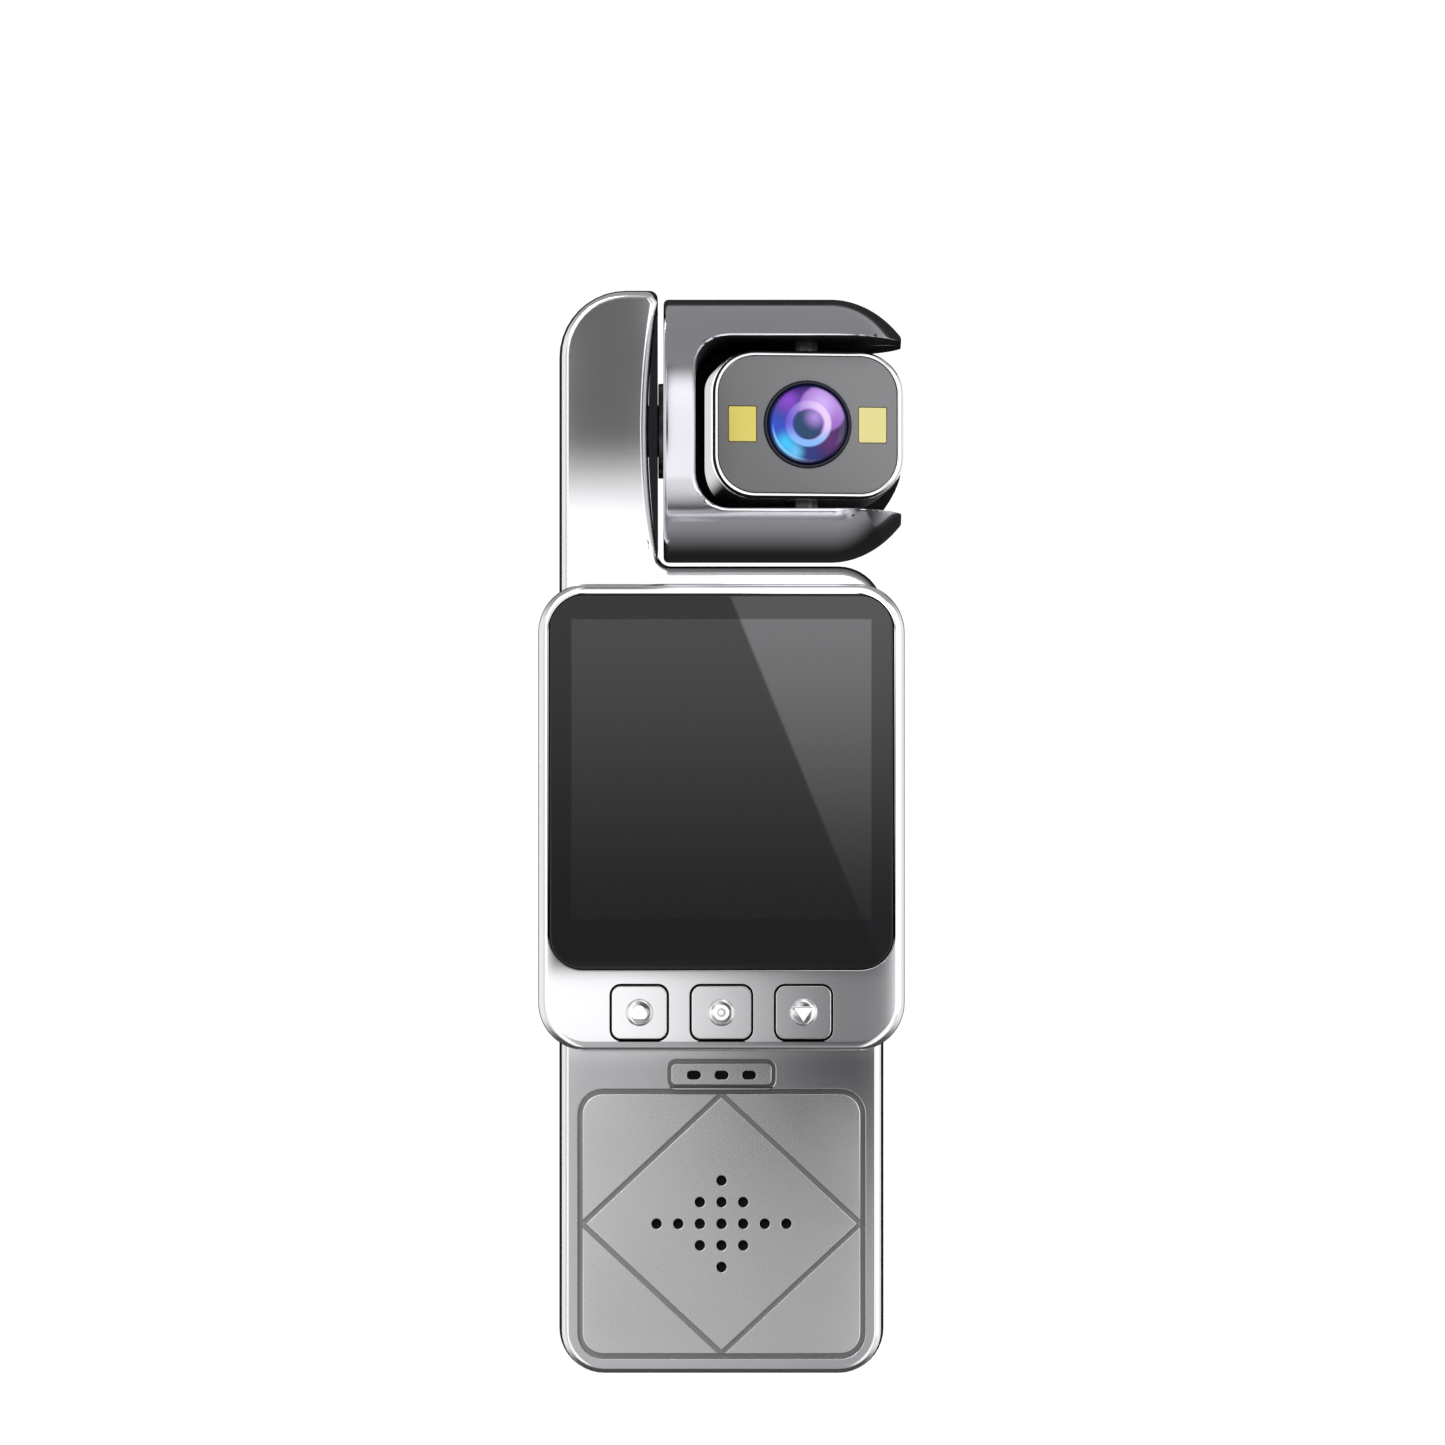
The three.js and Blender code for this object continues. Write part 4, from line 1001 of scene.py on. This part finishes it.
def pod_case():
    """The pod's shell: a D-shaped plan about its pins, narrower at top and bottom as the face is."""
    front, soft = POD_FACE + 1.1, 0.2
    flat = POD_HEIGHT - POD_R

    def plan_ring(z, inset):
        narrowed = POD_R - math.sqrt(POD_R**2 - max(abs(z) - flat, 0) ** 2)
        r, half = POD_CASE - inset, POD_CASE - narrowed - inset
        sides = (half * math.cos(math.pi * k / 56) for k in range(57))
        back = [(x, math.sqrt(max(r**2 - x**2, 0))) for x in sides]
        edge = [(soft - half, front), (half - soft, front)]
        ring = [edge[1], (half, front + soft), *back, (-half, front + soft), edge[0]]
        return [bm.verts.new((x, y, z)) for x, y in ring]

    bm = bmesh.new()
    quarters = [math.pi / 2 * k / EDGE_STEPS for k in range(EDGE_STEPS + 1)]
    heights = [(flat + (POD_R - soft) * k / 16, 0) for k in range(16)]
    heights += [(POD_HEIGHT - soft * (1 - math.sin(t)), soft * (1 - math.cos(t))) for t in quarters]
    both = [(-z, inset) for z, inset in reversed(heights)] + heights
    rings = [plan_ring(z, inset) for z, inset in both]
    bridge(bm, rings)
    for end in (rings[0], rings[-1]):
        fill(bm, [end])
    mouth = slab(pod_loop(1.1), -20, POD_FACE + 3)
    pins = turned([(0, -12), (1.55, -12), (1.55, 12), (0, 12)], "Z", 32)
    shape = carve(carve(bm, mouth), pins)
    return piece("pod_case", shape, POD, "pod", PALE, ["pod_shell"], 40)


def pod_bezel():
    bm = bmesh.new()
    outer = [(inset, POD_FACE + depth) for inset, depth in quarter(0.32)] + [(0, POD_FACE + 1)]
    inner = [(0, POD_FACE + 1)] + [(inset, POD_FACE + depth) for inset, depth in reversed(quarter(0.1))]
    rings = [add_ring(bm, offset(pod_loop(0), inset), y) for inset, y in outer]
    hole = pod_loop(POD_RIM)
    rings += [add_ring(bm, offset(hole, -inset), y) for inset, y in inner]
    bridge(bm, rings + [rings[0]])
    return piece("pod_bezel", bm, POD, "pod", CHROME, ["pod_rim"])


def pod_front():
    windows = [
        (rounded_rect(side * LED_X, 0, 2.66, 3.36, 0.12, 3), POD_FACE + 0.8, 0.05) for side in (-1, 1)
    ]
    lens_hole = (circle(0, 0, LENS_R + 0.04, 64), POD_FACE + 0.8, 0.1)
    shape = slab(
        pod_loop(POD_RIM + 0.05), POD_FACE + 0.1, POD_FACE + 0.9, 0.08, pockets=[lens_hole, *windows],
    )
    return piece("pod_front", shape, POD, "pod", SMOKED, ["pod_face"])


def led_panel(side):
    name = "left" if side < 0 else "right"
    shape = slab(
        rounded_rect(side * LED_X, 0, 2.56, 3.26, 0.1, 3), POD_FACE + 0.12, POD_FACE + 0.75, 0.06,
    )
    return piece(f"led_window_{name}", shape, POD, "pod", LED, [f"pod_led_{name}"])


def pod_lens():
    f = POD_FACE
    barrel = turned(
        [(2.9, f + 1.1), (3.76, f + 1.1), (3.76, f + 0.1), (3.8, f - 0.1, 0.05), (4.0, f - 0.1, 0.07),
         (4.0, f + 2.2), (3.4, f + 2.2), (3.4, 0.1), (2.9, 0.1), (2.9, f + 1.1)], "Y", 96,
    )
    piece("lens_barrel", barrel, POD, "pod", NAVY, ["pod_lens_barrel"])
    r, edge, rise = LENS_R - 0.26, f + 0.1, 0.8
    dome = [(r * math.sin(t), edge - rise * math.cos(t)) for t in (math.pi / 2 * k / 28 for k in range(29))]
    shape = turned([*dome, (r, f + 1.0), (0, f + 1.0)], "Y", 96)
    lens_reflection_paint = lens_with_painted_reflections("pod_lens_painted_reflections", POD, LENS_R)
    return piece("cabin_lens", shape, POD, "pod", lens_reflection_paint, ["pod_lens"], 60)


# ---- The road camera ----


def drum():
    half, r, pin, tall = 7.0, 7.2, 1.5, 8.8
    body = turned(
        [(0, -tall), (pin, -tall, 0.2), (pin, -half), (r, -half, 0.6), (r, half, 0.6), (pin, half),
         (pin, tall, 0.2), (0, tall)], "X", 80, 0.5,
    )
    bore = turned([(0, -3), (4.75, -3), (4.75, 3.9), (5.05, 3.9), (5.05, FAR / 4), (0, FAR / 4)], "Y", 64)
    shape = bevel(carve(body, bore), 0.15)
    return piece("road_drum", shape, DRUM, "road_lens", BLACK, ["lens_drum"], 40)


def road_optics():
    barrel = turned(
        [(3.3, -1), (4.65, -1), (4.65, 3.8, 0.1), (3.95, 3.8, 0.1), (3.95, 2), (3.3, 2), (3.3, -1)], "Y", 72,
    )
    piece("road_barrel", barrel, DRUM, "road_lens", GLOSS, ["road_lens_barrel"])
    trim = turned(
        [(4.05, 4), (4.95, 4), (4.95, 4.95, 0.25), (4.3, 4.95, 0.15), (4.05, 4)], "Y", 96,
    )
    piece("road_trim", trim, DRUM, "road_lens", CHROME, ["road_lens_ring"])
    r, edge, rise = 3.85, 4.2, 2.1
    dome = [(r * math.sin(t), edge + rise * math.cos(t)) for t in (math.pi / 2 * k / 24 for k in range(25))]
    shape = turned([*dome, (r, 2.1), (0, 2.1)], "Y", 96)
    lens_reflection_paint = lens_with_painted_reflections("road_lens_painted_reflections", DRUM, r)
    piece("road_glass", shape, DRUM, "road_lens", lens_reflection_paint, ["road_lens"], 60)


# ---- Carried-over CAD nodes: their shape stays, and each gets its real material ----

CARRIED = {
    "lcd_panel": GLOSS, "lcd_back_tray": STEEL, "key_board": BOARD, "speaker": CHIP, "microphone": STEEL,
    "main_board": BOARD, "processor": CHIP, "heat_spreader": STEEL, "battery": FOIL, "card_socket": STEEL,
    "memory_card": CHIP, "power_port": STEEL, "av_jack": GLOSS, "key_switch_1": CHIP, "key_switch_2": CHIP,
    "key_switch_3": CHIP, "plate_screw_1": STEEL, "plate_screw_2": STEEL, "friction_washer": STEEL,
    "hub_nut": STEEL, "pod_led_board": BOARD, "pod_sensor_board": BOARD, "pod_sensor": CHIP,
    "pod_pin_upper": GLOSS, "pod_pin_lower": GLOSS, "road_sensor_board": BOARD,
}


def carry_over():
    for name, material in CARRIED.items():
        mesh = frame["nodes"][name].data
        mesh.materials.clear()
        mesh.materials.append(material)


# ---- Studio ----


def emission_card(name, corners, material):
    """A light card that shows only in reflections."""
    mesh = bpy.data.meshes.new(name)
    mesh.from_pydata([tuple(c * MM for c in corner) for corner in corners], [], [(0, 1, 2, 3)])
    card = bpy.data.objects.new(name, mesh)
    bpy.context.scene.collection.objects.link(card)
    mesh.materials.append(material)
    card.visible_camera = False
    card.visible_diffuse = False
    card.visible_shadow = False
    card.visible_transmission = False
    return card


def front_card():
    """The graded card in front of the camera's face, that the flat silver faces mirror."""
    nodes = Nodes("graded_card")
    across, up = nodes.plane(BODY, unit=1.0)
    white, dark = (1.45, 1.45, 1.45), (0.09, 0.09, 0.092)
    arm = nodes.mix(nodes.remap(up, 78, 87.5), white, dark)
    in_arm = nodes.math("MULTIPLY", nodes.remap(across, -5, -6, 0, 1), nodes.remap(up, 74, 76, 0, 1))
    keys = nodes.mix(nodes.remap(across, -13, 13), (1.25, 1.25, 1.25), (0.2, 0.2, 0.205))
    shade = nodes.mix(nodes.remap(up, 4, 30), (0.38, 0.38, 0.385), (0.07, 0.07, 0.075))
    foot = nodes.mix(nodes.remap(across, -13, 13), (0.5, 0.5, 0.505), shade)
    above = nodes.remap(up, 40, 76)
    pane = nodes.mix(above, (0.02, 0.02, 0.02), (1.2, 1.2, 1.2))
    pane_right = nodes.mix(above, (0.12, 0.12, 0.13), (3.6, 3.6, 3.7))
    slant = nodes.math("ADD", across, nodes.math("MULTIPLY", up, 0.41))
    pane = nodes.mix(nodes.remap(slant, 30.2, 30.6), pane, pane_right)
    colour = nodes.mix(nodes.remap(up, 29, 31), foot, keys)
    colour = nodes.mix(nodes.remap(up, 36.5, 38.5), colour, pane)
    colour = nodes.mix(nodes.remap(up, 72.5, 74.5), colour, white)
    colour = nodes.mix(nodes.remap(up, 97, 111), colour, (0.34, 0.34, 0.345))
    colour = nodes.mix(in_arm, colour, arm)
    rim = nodes.remap(nodes.math("ABSOLUTE", across), 15.6, 16.4)
    colour = nodes.mix(rim, colour, (1.3, 1.3, 1.3))
    y = FACE - 16
    low, high = FOOT - 12, FOOT + 112
    corners = [(-24, y, low), (24, y, low), (24, y, high), (-24, y, high)]
    return emission_card("graded_card", corners, nodes.glow(colour))


def dark_flags():
    """Dark flags: one behind the camera draws its silhouette in a darker line, one shades the yoke."""
    nodes = Nodes("dark_flag")
    soot = nodes.mix(nodes.noise(60, 2), (0.02, 0.02, 0.02), (0.03, 0.03, 0.03))
    y = 70
    corners = [(-110, y, -120), (110, y, -120), (110, y, 110), (-110, y, 110)]
    emission_card("back_flag", corners, nodes.glow(soot))
    shade = Nodes("shade_flag")
    depth = shade.vector("DOT_PRODUCT", shade.position(), (0, 1 / MM, 0))
    fade = shade.remap(depth, FACE - 3.5, FACE + 2.5)
    grey = shade.mix(fade, (0.4, 0.4, 0.41), (0.02, 0.02, 0.02))
    z, near, far = FOOT + NOTCH + 0.07, FACE - 3.5, FACE + 12
    corners = [(ARM_RIGHT + 1, near, z), (17, near, z), (17, far, z), (ARM_RIGHT + 1, far, z)]
    emission_card("yoke_flag", corners, shade.glow(grey))


def world():
    """A white room: bright in front and along the horizon, greyer above and dark below."""
    room = bpy.data.worlds.new("room")
    bpy.context.scene.world = room
    nodes = Nodes("room", room)
    direction = nodes.add("TexCoord").outputs["Generated"]
    axes = nodes.add("SeparateXYZ")
    nodes.feed(axes.inputs[0], direction)
    _, y, z = axes.outputs
    white = (1.0, 1.0, 1.0)
    sky = nodes.mix(nodes.remap(z, 0.2, 0.7), white, (0.34, 0.34, 0.345))
    ground = nodes.mix(nodes.remap(z, -0.3, -0.8), white, (0.05, 0.05, 0.05))
    colour = nodes.mix(nodes.remap(z, 0.02, -0.02), sky, ground)
    colour = nodes.mix(nodes.remap(y, -0.55, -0.85), colour, (0.45, 0.45, 0.45))
    background = nodes.tree.nodes["Background"]
    nodes.feed(background.inputs["Color"], colour)
    background.inputs["Strength"].default_value = 1.05


def softbox(name, at, aim, size, watts):
    light = bpy.data.lights.new(name, "AREA")
    light.shape = "RECTANGLE"
    light.size, light.size_y = size
    light.energy = watts
    light.specular_factor = 0.15
    lamp = bpy.data.objects.new(name, light)
    lamp.location = at
    lamp.rotation_euler = (Vector(aim) - Vector(at)).to_track_quat("-Z", "Y").to_euler()
    bpy.context.scene.collection.objects.link(lamp)


def floor():
    """A plain pale disc below the camera."""
    shape = turned([(0, 0), (600, 0), (600, -4), (0, -4)], "Z", 96)
    disc = as_object(tidy(moved(shape, 0, 0, FOOT - 30)), "pale_floor")
    disc.data.transform(Matrix.Scale(MM, 4))
    nodes = Nodes("pale_floor")
    nodes.set(Base_Color=nodes.mix(nodes.noise(120, 3), (0.82, 0.82, 0.82), (0.86, 0.86, 0.86)))
    nodes.set(Roughness=0.6)
    disc.data.materials.append(nodes.material)
    disc.visible_glossy = False


def camera():
    """Straight on from the cabin side, with a long lens."""
    data = bpy.data.cameras.new("camera")
    distance, width = 2.0, 0.1336
    aside, up = 0.1, 60.4
    data.sensor_width = 36
    data.lens = 36 * distance / width
    data.clip_end = 20
    seen = bpy.data.objects.new("camera", data)
    seen.location = (aside * MM, FACE * MM - distance, (FOOT + up) * MM)
    seen.rotation_euler = (math.pi / 2, 0, 0)
    bpy.context.scene.collection.objects.link(seen)
    bpy.context.scene.camera = seen


camera()
world()
front_card()
dark_flags()
floor()
softbox("key", (-0.35, -0.7, 0.5), (0, 0, 0), (0.5, 0.5), 7)
softbox("fill", (0.6, -0.5, 0.15), (0, 0, 0), (0.4, 0.6), 1.5)

cabin_half()
road_half()
hinge_plate()
display_frame()
cover_glass()
speaker_grille()
speaker_cloth()
microphone_grille()
lens_surround()
mounting_block()
sticky_pad()
for key_name in KEYS:
    key(key_name)
for screw_name in BODY_SCREWS:
    x, _, z = centre_of(screw_name)
    screw(screw_name, BODY, (x, z), "casing", 1.8, span(screw_name)[1][1] - FACE)
yoke_half(-1)
yoke_half(1)
yoke_collar()
for end, up in (("upper", 1), ("lower", -1)):
    screw(f"yoke_screw_{end}", YOKE, (YOKE_SCREW_X, up * YOKE_SCREW_Z), "yoke", 1.05, 4.8)
pod_case()
pod_bezel()
pod_front()
led_panel(-1)
led_panel(1)
pod_lens()
drum()
road_optics()
carry_over()

bpy.context.scene.view_settings.view_transform = "Standard"
